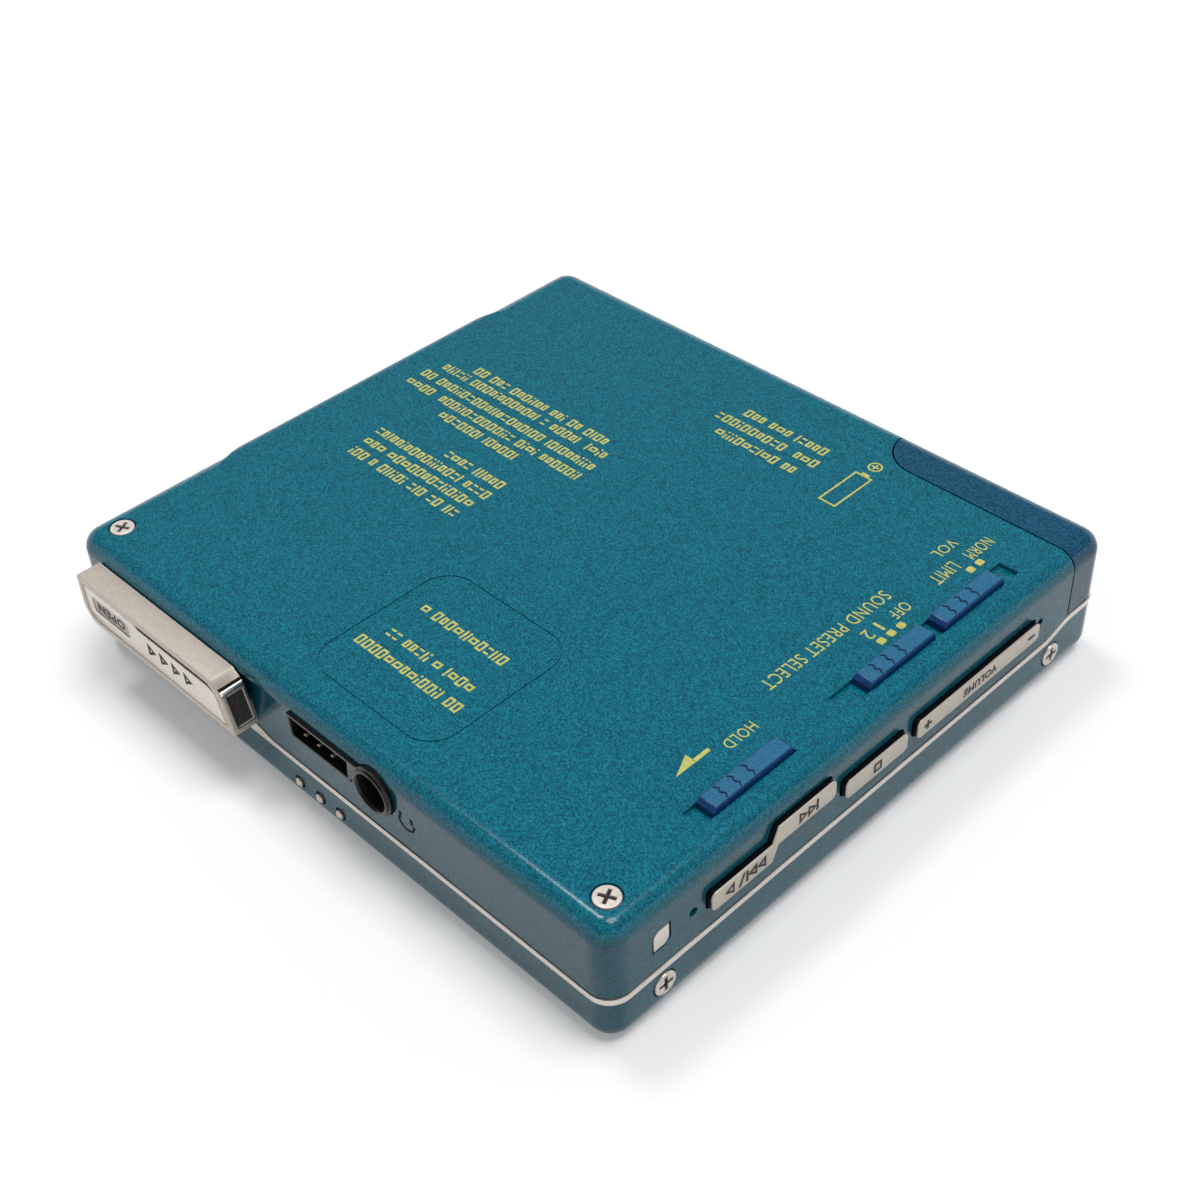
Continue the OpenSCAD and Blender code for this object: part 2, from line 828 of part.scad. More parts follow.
module hinge_roll() {
  intersection() {
    difference() {
      bar_y(hinge_x, hinge_z, hinge_roll_r, -lug_y, lug_y);
      bar_y(hinge_x, hinge_z, hinge_roll_r - wall, -far, far);
    }
    block([hinge_x + hinge_roll_r - roll_drop, far], [-far, far], [hinge_z - roll_drop, hinge_z + fit]);
  }
  intersection() {
    linear_extrude(case_h) plan(0);
    block([x_right - wall, far], [-lug_y - fit, lug_y + fit], [hinge_z, base_z + wall / 2]);
  }
}

module hinge_lugs() front_and_back() difference() {
  union() {
    bar_y(hinge_x, hinge_z, lug_r, -lug_y, lug_w - lug_y);
    block([hinge_x - lug_r, x_right - wall / 2], [-lug_y, lug_w - lug_y], [hinge_z, door_z - gap]);
  }
  bar_y(hinge_x, hinge_z, hinge_pin_r + fit, -far, 0);
}

// Lugs on the front wall that hold a rocker's pivot pin above and below
module pivot_lug(mid, z0, z1) {
  block(
    [from_left(mid) - pivot_lug_l / 2, from_left(mid) + pivot_lug_l / 2],
    [y_front + wall - root, pivot_y + pivot_lug_w], [z0, z1]
  );
}
module base_fittings() {
  for (p = base_screw_at)
    intersection() {
      bar_z(p[0], p[1], boss_r, boss_z, skin_z + wall / 2);
      linear_extrude(case_h) plan(wall / 2);
    }
  block([x_left + wall / 2, door_edge - 1], [rib_y, rib_y + rib_t], [deck_top, skin_z + wall / 2]);
  block(
    [x_left + wall / 2, x_left + pad_t + wall],
    [from_front(slider_y - pad_l), from_front(slider_y + scoop_l)],
    [base_z + flare_h + gap, skin_z]
  );
  pivot_lug(track_mid, rocker_low - gap - pivot_pin_l, rocker_low - gap);
  pivot_lug(track_mid, track_high + gap, skin_z + root);
  pivot_lug(volume_mid, rocker_low - gap - pivot_pin_l, rocker_low - gap);
  pivot_lug(volume_mid, volume_high + gap, volume_high + gap + pivot_pin_l);
}

module base_openings() {
  front_and_back() along_y(-far, -ear_y + gap) polygon(concat(
    [[bend_x0, base_z - 1]], raised(base_z), [[far, base_z + bend_h], [far, base_z - 1]]
  ));
  along_x(x_left - wall, x_left + wall + gap) flare_outline(parting_gap);
  along_y(y_front - wall, y_front + wall + fit) {
    track_outline(gap);
    key_outline(stop_x, stop_l, gap);
    key_outline(volume_x, volume_l, gap);
    lens_outline(fit);
  }
  for (x = [track_x - dimple_space, volume_x + volume_l + far_dimple_space])
    bar_y(from_left(x), key_z + key_h / 2, dimple_r, y_front - wall, y_front + wall / 2);
  along_x(x_left - wall, x_left + base_edge_r) socket_outline(fit);
  block(
    [x_left - wall, x_left + wall + fit],
    [from_front(neck_y - slider_travel) - gap, from_front(neck_end) + gap],
    [neck_z - gap, neck_z + neck_h + gap]
  );
  slider_scoop();
  for (mid = [track_mid, volume_mid])
    bar_z(from_left(mid), pivot_y, pivot_r + fit, base_z, skin_z);
  switch_recess(hold_x - hold_travel - recess_gap, hold_x + hold_l + recess_end);
  switch_recess(sound_x - sound_travel - recess_end, limit_x + limit_l + limit_travel + recess_end);
  stem_slot(hold_mid, hold_travel, 0);
  stem_slot(sound_mid, sound_travel, 0);
  stem_slot(limit_mid, 0, limit_travel);
  for (p = base_screw_at) {
    bar_z(p[0], p[1], screw_head_r + turn_gap, case_h - screw_head_t, far);
    bar_z(p[0], p[1], screw_shank_r, boss_z - 1, far);
  }
  panel_groove();
  translate([0, 0, door_z - gap]) linear_extrude(case_h) door_outline(door_gap);
  translate([0, 0, skin_z - door_gap]) linear_extrude(case_h) door_tip_outline(door_gap);
  bar_z(door_x, door_y, door_swing_r, door_z - gap, skin_z);
}

module base_shell() color(teal) {
  difference() {
    union() {
      difference() {
        union() {
          base_block();
          back_bulge();
        }
        base_room();
      }
      base_fittings();
    }
    base_openings();
  }
  hinge_roll();
  hinge_lugs();
  difference() {
    bar_z(door_x, door_y, door_column_r, base_z + root, skin_z - 2 * gap);
    bar_z(door_x, door_y, door_pin_r + fit, door_z + wall, far);
  }
}

module indicator_lens() color("white") {
  along_y(y_front, y_front + wall + root) lens_outline(0);
  block(
    [from_left(indicator_x) - indicator_lip, from_left(indicator_x + indicator_w) + indicator_lip],
    [y_front + wall, y_front + wall + indicator_lip],
    [indicator_z - indicator_lip, indicator_z + indicator_h + indicator_lip]
  );
}

// Mechanism deck with its posts and the blocks that hold the rods
module rod_support(x, y0) {
  difference() {
    block([x - rod_block, x + rod_block], [y0, y0 + rod_block], [deck_top - fit, rod_z + rod_r + gap]);
    bar_y(x, rod_z, rod_r, y0 - 1, y0 + rod_block + 1);
  }
}

module chassis() color(steel) difference() {
  union() {
    block(
      [x_left + deck_side, x_right - door_pivot_inset - door_column_r - 2 * gap],
      [y_front + deck_inset, y_back - deck_inset], [deck_z, deck_top]
    );
    for (p = base_screw_at)
      bar_z(p[0], p[1], post_r, deck_z, boss_z);
    front_and_back()
      bar_z(x_left + locator_inset, locator_spacing / 2, locator_r, deck_z - locator_l, deck_top);
    for (p = board_post_at) {
      bar_z(p[0], p[1], board_post_r, deck_z, board_z);
      bar_z(p[0], p[1], board_nib_r, deck_z, board_z + board_t);
    }
    for (x = [-rod_spacing / 2, rod_spacing / 2], y = [rod_y0, rod_y1])
      rod_support(x, y);
    block(
      [lead_x - rod_block, lead_x + rod_block], [rod_y1, rod_y1 + rod_block],
      [deck_top - fit, lead_z + journal_r + 2 * root]
    );
  }
  bar_z(0, 0, motor_r + 1, deck_z - 1, deck_top + 1);
  block(
    [-lens_r - barrel_t - wall, lens_r + barrel_t + wall],
    [lens_start - lens_r - barrel_t - wall, lens_start + sled_travel + lens_r + barrel_t + 2 * root],
    [deck_z - 1, deck_top + fit]
  );
  front_and_back()
    block([hinge_x - lug_r - 1, far], [-far, lug_w - lug_y + 0.6], [deck_z - 1, deck_top + 1]);
  bar_y(lead_x, lead_z, journal_r + fit, rod_y1 - 1, rod_y1 + rod_block + 1);
  for (p = base_screw_at)
    bar_z(p[0], p[1], screw_shank_r, boss_z - pilot_l, far);
}

module circuit_board() color(board_green) difference() {
  union() {
    block(
      [x_left + 6.5, x_right - 3], [from_front(remote_end + 3), y_back - board_inset],
      [board_z, board_z + board_t]
    );
    block(
      [x_left + wall + jack_body_l + 1, x_right - 3],
      [rib_y + rib_t + 0.5, from_front(remote_end + 3) + root], [board_z, board_z + board_t]
    );
  }
  for (p = board_post_at)
    bar_z(p[0], p[1], board_nib_r, board_z - 1, far);
}

// Chips on the board's inner face: place of the middle, width, depth and height
module chip(x, y, w, d, h) block([x - w / 2, x + w / 2], [y - d / 2, y + d / 2], [board_z - h, board_z]);
module board_chips() color(black) {
  for (c = chips)
    chip(c[0], c[1], c[2], c[3], c[4]);
}

module jack_block() color(black) {
  y0 = from_front(jack_y) - jack_ring_r - jack_side;
  y1 = from_front(remote_end) + jack_side;
  difference() {
    union() {
      block([x_left + wall, x_left + base_edge_r + root], [y0, y1], [deck_top, case_h - base_edge_r]);
      block([x_left + base_edge_r, x_left + wall + jack_body_l], [y0, y1], [deck_top, skin_z - gap]);
      along_x(x_left - bezel_proud, x_left + wall + root) socket_outline(0);
      translate([x_left, from_front(jack_y), jack_z]) rotate([0, -90, 0])
        cylinder(r1 = jack_ring_r, r2 = jack_ring_r - jack_taper, h = jack_proud);
    }
    bar_x(from_front(jack_y), jack_z, jack_bore_r, x_left - wall, x_left + jack_depth);
    translate([x_left - jack_proud, from_front(jack_y), jack_z]) rotate([0, 90, 0])
      cylinder(r1 = jack_bore_r + jack_mouth, r2 = jack_bore_r, h = jack_mouth_l);
    along_x(x_left - wall, x_left + wall + remote_depth) remote_outline(0);
  }
}

module remote_contacts() color(gold)
  for (i = [1:4]) {
    y = from_front(remote_y) + remote_l * i / 5;
    z = remote_z + remote_h - contact_h - gap;
    block(
      [x_left + wall + contact_w, x_left + wall + remote_depth],
      [y - contact_w / 2, y + contact_w / 2], [z, z + contact_h]
    );
  }

// Carrier behind the keys: a back plate and a shelf under the slide switches
key_board_span = [from_left(track_x - key_board_end), from_left(volume_x + volume_l + key_board_end)];

module key_frame() color(black) {
  y0 = key_board_y + key_board_t;
  block(key_board_span, [y0, y0 + key_plate_t], [deck_top, shelf_z + shelf_t]);
  block(key_board_span, [key_board_y, switch_back], [shelf_z, shelf_z + shelf_t]);
}

module key_board() color(board_green)
  block(key_board_span, [key_board_y, key_board_y + key_board_t], [deck_top, shelf_z - gap]);

// Places of the domes: one behind each end of a rocker, one behind the stop key
dome_at = [
  [track_x + stub_inset, key_z + key_h / 2], [track_x + track_l - stub_inset, key_z + track_step + stub_r],
  [stop_mid, key_z + key_h / 2],
  [volume_x + stub_inset, key_z + key_h / 2], [volume_x + volume_l - stub_inset, key_z + key_h / 2]
];
module dome_switches() color(steel)
  for (p = dome_at)
    translate([from_left(p[0]), key_board_y, p[1]]) rotate([90, 0, 0])
      cylinder(r1 = dome_r, r2 = dome_r * 0.7, h = dome_h);

module slide_switches() color(black)
  for (m = [hold_mid - hold_travel / 2, sound_mid - sound_travel / 2, limit_mid + limit_travel / 2])
    block(
      [from_left(m) - switch_l / 2, from_left(m) + switch_l / 2], [switch_y, switch_back],
      [switch_top - switch_t, switch_top]
    );

module spindle_motor() color(steel) difference() {
  union() {
    bar_z(0, 0, motor_r + motor_flange, deck_top, deck_top + motor_flange_t);
    bar_z(0, 0, motor_r, deck_top, motor_top);
    bar_z(0, 0, spindle_r + 1, deck_top, bearing_top);
  }
  bar_z(0, 0, spindle_r + fit, deck_top - 1, bearing_top - root);
}

module guide_rods() color(steel)
  for (x = [-rod_spacing / 2, rod_spacing / 2])
    bar_y(x, rod_z, rod_r, rod_y0, rod_y1 + rod_block);

module sled_motor() color(steel) {
  y0 = lead_y0 - 0.4 - sled_motor_l;
  difference() {
    union() {
      bar_y(lead_x, lead_z, sled_motor_r, y0, y0 + sled_motor_l);
      block(
        [lead_x - sled_motor_r, lead_x + sled_motor_r], [y0 + 2, y0 + sled_motor_l - 2],
        [deck_top, lead_z]
      );
    }
    bar_y(lead_x, lead_z, journal_r + fit, y0 + sled_motor_l - journal_l, far);
  }
}

module battery_cell() color(champagne) {
  along_x(cell_x, cell_x + cell_l)
    translate([cell_y, deck_top]) rounded_rect(cell_w, cell_t, cell_round);
  bar_x(cell_mid_y, cell_mid_z, nub_r, cell_x + cell_l - root, cell_x + cell_l + nub_l);
}

// Bowed leaf between the case wall and the end of the cell
module battery_spring() color(gold) {
  bow = spring_room - leaf_t - fit;
  block(
    [x_left + wall, x_left + wall + leaf_t], [cell_mid_y - leaf_span, cell_mid_y + leaf_span],
    [cell_mid_z - leaf_w / 2, cell_mid_z + leaf_w / 2]
  );
  translate([x_left + wall + leaf_t, cell_mid_y, cell_mid_z - leaf_w / 2]) linear_extrude(leaf_w) polygon([
    [-fit, -leaf_span], [-fit, leaf_t - leaf_span], [bow - leaf_t, 0], [-fit, leaf_span - leaf_t],
    [-fit, leaf_span], [bow, 2 * leaf_t], [bow, -2 * leaf_t]
  ]);
}

// Open slider: a slant at the key end and a large round at its other lower corner
module slider_outline(inset) {
  slope = slider_slant / slider_h;
  slant = inset * norm([1, slope]);
  y0 = from_front(slider_y) + slant;
  y1 = from_front(slider_end) - inset;
  z0 = slider_z + inset;
  z1 = slider_top - inset;
  r = slider_round - inset;
  ramp = slider_chamfer;
  polygon([
    [y0 + slope * inset, z0], [y1 - r, z0], [y1, z0 + r], [y1, z1],
    [y0 + slope * (z1 - slider_z) + ramp, z1], [y0 + slope * (z1 - ramp - slider_z), z1 - ramp]
  ]);
  translate([y1 - r, z0 + r]) circle(r);
}

module open_slider() color(champagne) {
  difference() {
    along_x(slider_x, x_left - gap) slider_outline(0);
    along_x(slider_x - 1, slider_x + plate_t + fit) slider_outline(frame_w);
    block(
      [slider_x + frame_w, x_left - 3 * gap], [-far, from_front(slider_y + slider_slant) + plate_t],
      [slider_z + frame_w, slider_top - slider_chamfer - 1]
    );
  }
  block(
    [x_left - gap - root, latch_x], [from_front(neck_y), from_front(neck_end)],
    [neck_z, neck_z + neck_h]
  );
}

// Inset face plate with a window at its far end
module slider_plate() color(champagne) difference() {
  along_x(slider_x + fit, slider_x + plate_t + fit) slider_outline(frame_w + gap);
  translate([slider_x - plate_t, from_front(slider_end) - window_l - 2, slider_top - frame_w - window_h - 1])
    rotate([90, 0, 90]) linear_extrude(1.7 * plate_t) rounded_rect(window_l, window_h, 0.5);
}

// Inner plate of the slider with a leg that ends in a hook
module latch_plate() color(steel) {
  y0 = from_front(neck_y);
  block(
    [latch_x, latch_x + latch_t], [y0, from_front(neck_end) + latch_rim],
    [neck_z - latch_rim, neck_z + neck_h + latch_rim]
  );
  block([latch_x, latch_x + latch_t], [y0, y0 + latch_leg_w], [latch_foot_z, neck_z]);
  block([latch_x, latch_x + latch_t], [y0, y0 + latch_leg_w + hook_l], [latch_foot_z, latch_foot_z + hook_h]);
}

// Slide knob: a cap with sloped ends, a stem through the skin and a foot below
module slide_knob(x, l) {
  z0 = case_h - recess_depth + recess_gap;
  z1 = case_h + knob_proud;
  x0 = from_left(x);
  x1 = from_left(x + l);
  mid = (x0 + x1) / 2;
  along_y(knob_mid - knob_w / 2, knob_mid + knob_w / 2) polygon([
    [x0, z0], [x1, z0], [x1, z1 - knob_slope],
    [x1 - knob_slope / 2, z1], [x0 + knob_slope, z1], [x0, z1 - knob_slope]
  ]);
  block(
    [mid - stem_l / 2, mid + stem_l / 2], [knob_mid - stem_w / 2, knob_mid + stem_w / 2],
    [foot_top - foot_t, z0 + root]
  );
  block(
    [mid - foot_l / 2, mid + foot_l / 2], [knob_mid - foot_w / 2, knob_mid + foot_w / 2],
    [foot_top - foot_t, foot_top]
  );
}
module hold_knob() color(blue) slide_knob(hold_x, hold_l);
module sound_knob() color(blue) slide_knob(sound_x, sound_l);
module limit_knob() color(blue) slide_knob(limit_x, limit_l);

// Stub that reaches from a key's back to its dome
module key_stub_at(p) bar_y(from_left(p[0]), p[1], stub_r, key_back, key_stub);

// Pivot of a rocker: a short flange, a boss and a pin that stands out above and below
module rocker_pivot(mid, low, high) {
  x = from_left(mid);
  block([x - pivot_flange_l / 2, x + pivot_flange_l / 2], [key_back, key_back + key_flange_t], [low, high]);
  bar_z(x, pivot_y, pivot_boss_r, low, high);
  bar_z(x, pivot_y, pivot_r, low - pivot_pin_l, high + pivot_pin_l);
}

module track_rocker() color(champagne) {
  along_y(y_front - key_proud, key_back + root) track_outline(0);
  rocker_pivot(track_mid, rocker_low, track_high);
  key_stub_at(dome_at[0]);
  key_stub_at(dome_at[1]);
}

module stop_key() color(champagne) {
  along_y(y_front - key_proud, key_back + root) key_outline(stop_x, stop_l, 0);
  along_y(key_back, key_back + key_flange_t) key_outline(stop_x, stop_l, key_flange);
  key_stub_at(dome_at[2]);
}

module volume_rocker() color(champagne) {
  along_y(y_front - key_proud, key_back + root) key_outline(volume_x, volume_l, 0);
  rocker_pivot(volume_mid, rocker_low, volume_high);
  key_stub_at(dome_at[3]);
  key_stub_at(dome_at[4]);
}

module battery_door() color(blue) {
  difference() {
    intersection() {
      base_block();
      union() {
        translate([0, 0, door_z]) linear_extrude(case_h) door_outline(0);
        translate([0, 0, skin_z]) linear_extrude(case_h) door_tip_outline(0);
      }
    }
    base_room();
    bar_z(door_x, door_y, door_column_r + door_gap, 0, skin_z);
  }
  bar_z(door_x, door_y, door_pin_r, door_z + wall + 2 * root, skin_z + wall / 2);
}

module door_contact() color(gold) {
  x0 = x_right - wall;
  block(
    [x0 - nub_l, x0], [cell_mid_y - leaf_span, door_y - door_swing_r - gap],
    [cell_mid_z - leaf_w / 2, cell_mid_z + leaf_w / 2]
  );
  bar_x(cell_mid_y, cell_mid_z, leaf_w / 2 - gap, cell_x + cell_l + nub_l + fit, x0);
}

// Turntable: a disc with a raised rim, a centring nose and the spindle
module turntable() color(steel) {
  bar_z(0, 0, turntable_r, turntable_z, turntable_z + turntable_t);
  translate([0, 0, turntable_z - nose_h]) cylinder(r1 = nose_tip_r, r2 = nose_r, h = nose_h);
  bar_z(0, 0, spindle_r, turntable_z - nose_h / 2, bearing_top - 2 * root);
}

module chuck_magnet() color(black) difference() {
  bar_z(0, 0, turntable_r - magnet_rim, turntable_z - magnet_t, turntable_z);
  bar_z(0, 0, magnet_in_r, turntable_z - 1, turntable_z + 1);
}

module pickup_sled() color(black) difference() {
  half = rod_spacing / 2 + sled_side;
  y0 = sled_y + (sled_l - nut_l) / 2;
  union() {
    block([-half, half], [sled_y, sled_y + sled_l], [sled_z, sled_z + sled_h]);
    block([half - root, lead_x + nut_r], [y0, y0 + nut_l], [lead_z - nut_r, lead_z + nut_r]);
    bar_z(0, lens_start, lens_r + barrel_t, deck_z + 2 * fit, sled_z + root);
  }
  for (x = [-rod_spacing / 2, rod_spacing / 2])
    bar_y(x, rod_z, rod_r + fit, -far, far);
  bar_y(lead_x, lead_z, lead_r + fit, -far, far);
  bar_z(0, lens_start, lens_r, 0, sled_z + 2 * root);
}

// Lens with a domed face toward the disc
module objective_lens() color([0.55, 0.62, 0.75]) {
  dome = 1.4 * lens_r;
  bar_z(0, lens_start, lens_r, deck_z, sled_z + 2 * root);
  intersection() {
    translate([0, lens_start, deck_z + 0.85 * dome]) sphere(r = dome);
    bar_z(0, lens_start, 0.65 * lens_r, deck_z - 1, deck_z + root);
  }
}

module lead_screw() color(steel) {
  bar_y(lead_x, lead_z, lead_r, lead_y0, lead_y1);
  bar_y(lead_x, lead_z, journal_r, lead_y0 - journal_l + root, lead_y1 + rod_block);
}

lid_cover();
lid_trim();
disc_holder();
lid_catch();
lid_screws();
side_studs();
hinge_pins();
base_shell();
chassis();
circuit_board();
board_chips();
jack_block();
remote_contacts();
key_frame();
key_board();
dome_switches();
slide_switches();
indicator_lens();
spindle_motor();
guide_rods();
sled_motor();
battery_cell();
battery_spring();
base_screws();
open_slider();
slider_plate();
latch_plate();
hold_knob();
sound_knob();
limit_knob();
track_rocker();
stop_key();
volume_rocker();
battery_door();
door_contact();
turntable();
chuck_magnet();
pickup_sled();
objective_lens();
lead_screw();
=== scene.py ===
import json
import math
import random

import bmesh
import bpy
from mathutils import Matrix, Vector

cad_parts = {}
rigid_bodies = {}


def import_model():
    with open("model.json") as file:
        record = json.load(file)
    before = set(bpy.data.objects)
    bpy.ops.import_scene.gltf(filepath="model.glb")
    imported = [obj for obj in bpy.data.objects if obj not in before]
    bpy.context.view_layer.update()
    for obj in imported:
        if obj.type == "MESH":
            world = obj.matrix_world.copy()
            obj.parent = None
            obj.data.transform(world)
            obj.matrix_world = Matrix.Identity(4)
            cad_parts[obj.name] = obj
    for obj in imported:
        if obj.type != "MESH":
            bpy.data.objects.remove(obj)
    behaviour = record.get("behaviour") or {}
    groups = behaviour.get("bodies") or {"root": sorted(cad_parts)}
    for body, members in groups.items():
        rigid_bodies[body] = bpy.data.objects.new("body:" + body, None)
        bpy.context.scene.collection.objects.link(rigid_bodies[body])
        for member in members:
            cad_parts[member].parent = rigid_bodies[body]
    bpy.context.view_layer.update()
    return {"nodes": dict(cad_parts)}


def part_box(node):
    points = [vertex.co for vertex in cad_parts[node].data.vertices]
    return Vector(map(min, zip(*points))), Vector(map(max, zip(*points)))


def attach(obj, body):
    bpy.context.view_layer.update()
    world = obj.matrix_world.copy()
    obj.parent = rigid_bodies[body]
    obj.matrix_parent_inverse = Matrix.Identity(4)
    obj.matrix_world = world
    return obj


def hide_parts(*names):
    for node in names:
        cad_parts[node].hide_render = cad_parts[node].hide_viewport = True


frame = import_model()
nodes = frame["nodes"]

# Lengths are in millimetres, and MM turns them into metres

MM = 0.001
ALONG_X = Vector((1, 0, 0))
ALONG_Y = Vector((0, 1, 0))
ALONG_Z = Vector((0, 0, 1))
CORNER_X, CORNER_Y = 36.0, 39.5
WALL_X = -36.0
SLIDER_FACE_X = -39.0
KEY_FACE_Y = -40.2
UNDERSIDE_Z = 15.0
DECK_Z = 7.0
PRINT_DEPTH = 0.03
PRINT_LIFT = 0.012
MERGE_DISTANCE = 0.001
TIP_MERGE = 0.02
FLAT_ANGLE, SMOOTH_ANGLE = math.radians(0.5), math.radians(35)
chance = random.Random(7)


def from_corner(x, y, z):
    """A place measured from the corner between the keys and the open slider."""
    return Vector((x - CORNER_X, y - CORNER_Y, z)) * MM


# Hand tools

def deselect_all():
    if bpy.context.mode != "OBJECT":
        bpy.ops.object.mode_set(mode="OBJECT")
    bpy.ops.object.select_all(action="DESELECT")


def only(piece):
    deselect_all()
    piece.select_set(True)
    bpy.context.view_layer.objects.active = piece


def open_edit(piece):
    only(piece)
    bpy.ops.object.mode_set(mode="EDIT")
    bpy.ops.mesh.select_all(action="DESELECT")


def close_edit():
    bpy.ops.object.mode_set(mode="OBJECT")


def settle(piece):
    """Puts the piece's place, turn and size into its mesh."""
    only(piece)
    bpy.ops.object.transform_apply(location=True, rotation=True, scale=True)
    return piece


def moved(piece, x, y, z=0.0):
    piece.location = Vector((x, y, z)) * MM
    return settle(piece)


def turned(piece, x=0.0, y=0.0, z=0.0):
    piece.rotation_euler = (x, y, z)
    return settle(piece)


def pick(piece, kind, test):
    """Selects the faces, edges or points that pass the test."""
    bpy.ops.mesh.select_mode(type=kind)
    bpy.ops.mesh.select_all(action="DESELECT")
    mesh = bmesh.from_edit_mesh(piece.data)
    for item in {"FACE": mesh.faces, "EDGE": mesh.edges, "VERT": mesh.verts}[kind]:
        if test(item):
            item.select_set(True)
    bmesh.update_edit_mesh(piece.data)


def pick_faces(piece, test):
    """Selects faces by their middle and their normal."""
    pick(piece, "FACE", lambda face: test(face.calc_center_median() / MM, face.normal))


def pick_edges(piece, test, bend):
    """Selects edges with more than the given bend, by both of their ends."""
    def passes(edge):
        sharp = len(edge.link_faces) == 2 and edge.calc_face_angle() > bend
        return sharp and all(test(point.co / MM) for point in edge.verts)
    pick(piece, "EDGE", passes)


def pick_points(piece, test):
    pick(piece, "VERT", lambda point: test(point.co / MM))


def soften(piece, width, test, segments=3, bend=0.5):
    """Rounds the sharp edges whose ends pass the test."""
    open_edit(piece)
    pick_edges(piece, test, bend)
    bpy.ops.mesh.bevel(offset=width * MM, segments=segments, affect="EDGES")
    close_edit()


def shifted(piece, test, step):
    """Moves the points that pass the test."""
    open_edit(piece)
    pick_points(piece, test)
    bpy.ops.transform.translate(value=Vector(step) * MM)
    close_edit()


def cut_across(piece, place, normal):
    """Cuts the piece at a plane, closes the cut and keeps the side that the normal points to."""
    open_edit(piece)
    bpy.ops.mesh.select_all(action="SELECT")
    bpy.ops.mesh.bisect(
        plane_co=Vector(place) * MM, plane_no=normal, use_fill=True, clear_inner=True
    )
    close_edit()


def block(name, low, high):
    """A box between two corners, to be shaped further."""
    deselect_all()
    low, high = Vector(low), Vector(high)
    bpy.ops.mesh.primitive_cube_add(
        size=1, location=(low + high) / 2 * MM, scale=(high - low) * MM
    )
    piece = bpy.context.active_object
    piece.name = name
    return settle(piece)


def copy_of_node(node, name):
    """A merged copy of a CAD node, to be shaped further."""
    only(nodes[node])
    bpy.ops.object.duplicate()
    piece = bpy.context.active_object
    piece.name = name
    bpy.ops.object.parent_clear(type="CLEAR_KEEP_TRANSFORM")
    for key in list(piece.keys()):
        del piece[key]
    bpy.ops.mesh.customdata_custom_splitnormals_clear()
    open_edit(piece)
    bpy.ops.mesh.select_all(action="SELECT")
    bpy.ops.mesh.remove_doubles(threshold=MERGE_DISTANCE * MM)
    bpy.ops.mesh.dissolve_limited(angle_limit=FLAT_ANGLE)
    close_edit()
    return piece


def copied(piece):
    """A copy of a small piece with a mesh of its own."""
    only(piece)
    bpy.ops.object.duplicate()
    return bpy.context.active_object


def joined(pieces, name):
    deselect_all()
    for piece in pieces:
        piece.select_set(True)
    bpy.context.view_layer.objects.active = pieces[0]
    if len(pieces) > 1:
        bpy.ops.object.join()
    pieces[0].name = name
    return pieces[0]


def laid(piece, place, reading, rise):
    """Lays a flat sign with its reading direction and its upper side turned as given."""
    turn = Matrix((reading, rise, reading.cross(rise))).transposed().to_4x4()
    piece.matrix_world = Matrix.Translation(place) @ turn
    return settle(piece)


def ready(piece, body, finish, node=None):
    """Coats the piece, smooths it and hands it to its body."""
    piece.data.materials.clear()
    piece.data.materials.append(finish)
    only(piece)
    bpy.ops.object.shade_smooth_by_angle(angle=SMOOTH_ANGLE)
    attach(piece, body)
    if node:
        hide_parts(node)
    return piece


def second_finish(piece, finish, test):
    """Gives the faces that pass the test a finish of their own."""
    piece.data.materials.append(finish)
    open_edit(piece)
    pick_faces(piece, test)
    piece.active_material_index = 1
    bpy.ops.object.material_slot_assign()
    close_edit()


# Flat shapes for signs and print

def flat_block(name, width, height, depth=PRINT_DEPTH):
    corner = Vector((width, height, depth)) / 2
    return block(name, -corner, corner)


def word(letters, width, height, bold=0.0):
    """Letters as a mesh of the given width and height."""
    deselect_all()
    bpy.ops.object.text_add()
    piece = bpy.context.active_object
    piece.data.body = letters
    piece.data.size = MM
    piece.data.space_character = 1.1
    piece.data.extrude = 0.1 * MM
    piece.data.offset = bold * MM
    piece.data.resolution_u = 3
    bpy.ops.object.convert(target="MESH")
    points = [point.co for point in piece.data.vertices]
    spans = [max(p[i] for p in points) - min(p[i] for p in points) for i in range(3)]
    piece.scale = [
        wanted * MM / span for wanted, span in zip((width, height, PRINT_DEPTH), spans)
    ]
    settle(piece)
    bpy.ops.object.origin_set(type="ORIGIN_GEOMETRY", center="BOUNDS")
    piece.location = (0, 0, 0)
    return piece


def dab(width, height, corner=0.12):
    """A mark with its corners rounded by a share of its smaller side."""
    piece = flat_block("dab", width, height)
    open_edit(piece)
    pick(piece, "EDGE", lambda edge: edge.verts[0].co.z * edge.verts[1].co.z < 0)
    bpy.ops.mesh.bevel(offset=corner * min(width, height) * MM, segments=2, affect="EDGES")
    close_edit()
    return piece


def pointer(length, height, tip):
    """A triangle that points along its reading direction, its tip at a height of its own."""
    half_height, half_depth = height / 2, PRINT_DEPTH / 2
    piece = block(
        "pointer", (0, -half_height, -half_depth), (length, half_height, half_depth)
    )
    open_edit(piece)
    pick_points(piece, lambda p: p.x > length / 2)
    bpy.ops.transform.resize(value=(1, 0.02, 1), center_override=(length * MM, tip * MM, 0))
    bpy.ops.mesh.remove_doubles(threshold=TIP_MERGE * MM)
    close_edit()
    return piece


def opened(piece, line):
    """Turns a flat shape into its outline."""
    open_edit(piece)
    pick_faces(piece, lambda p, n: abs(n.z) > 0.9)
    bpy.ops.mesh.inset(thickness=line * MM)
    bpy.ops.mesh.bridge_edge_loops()
    close_edit()
    return piece


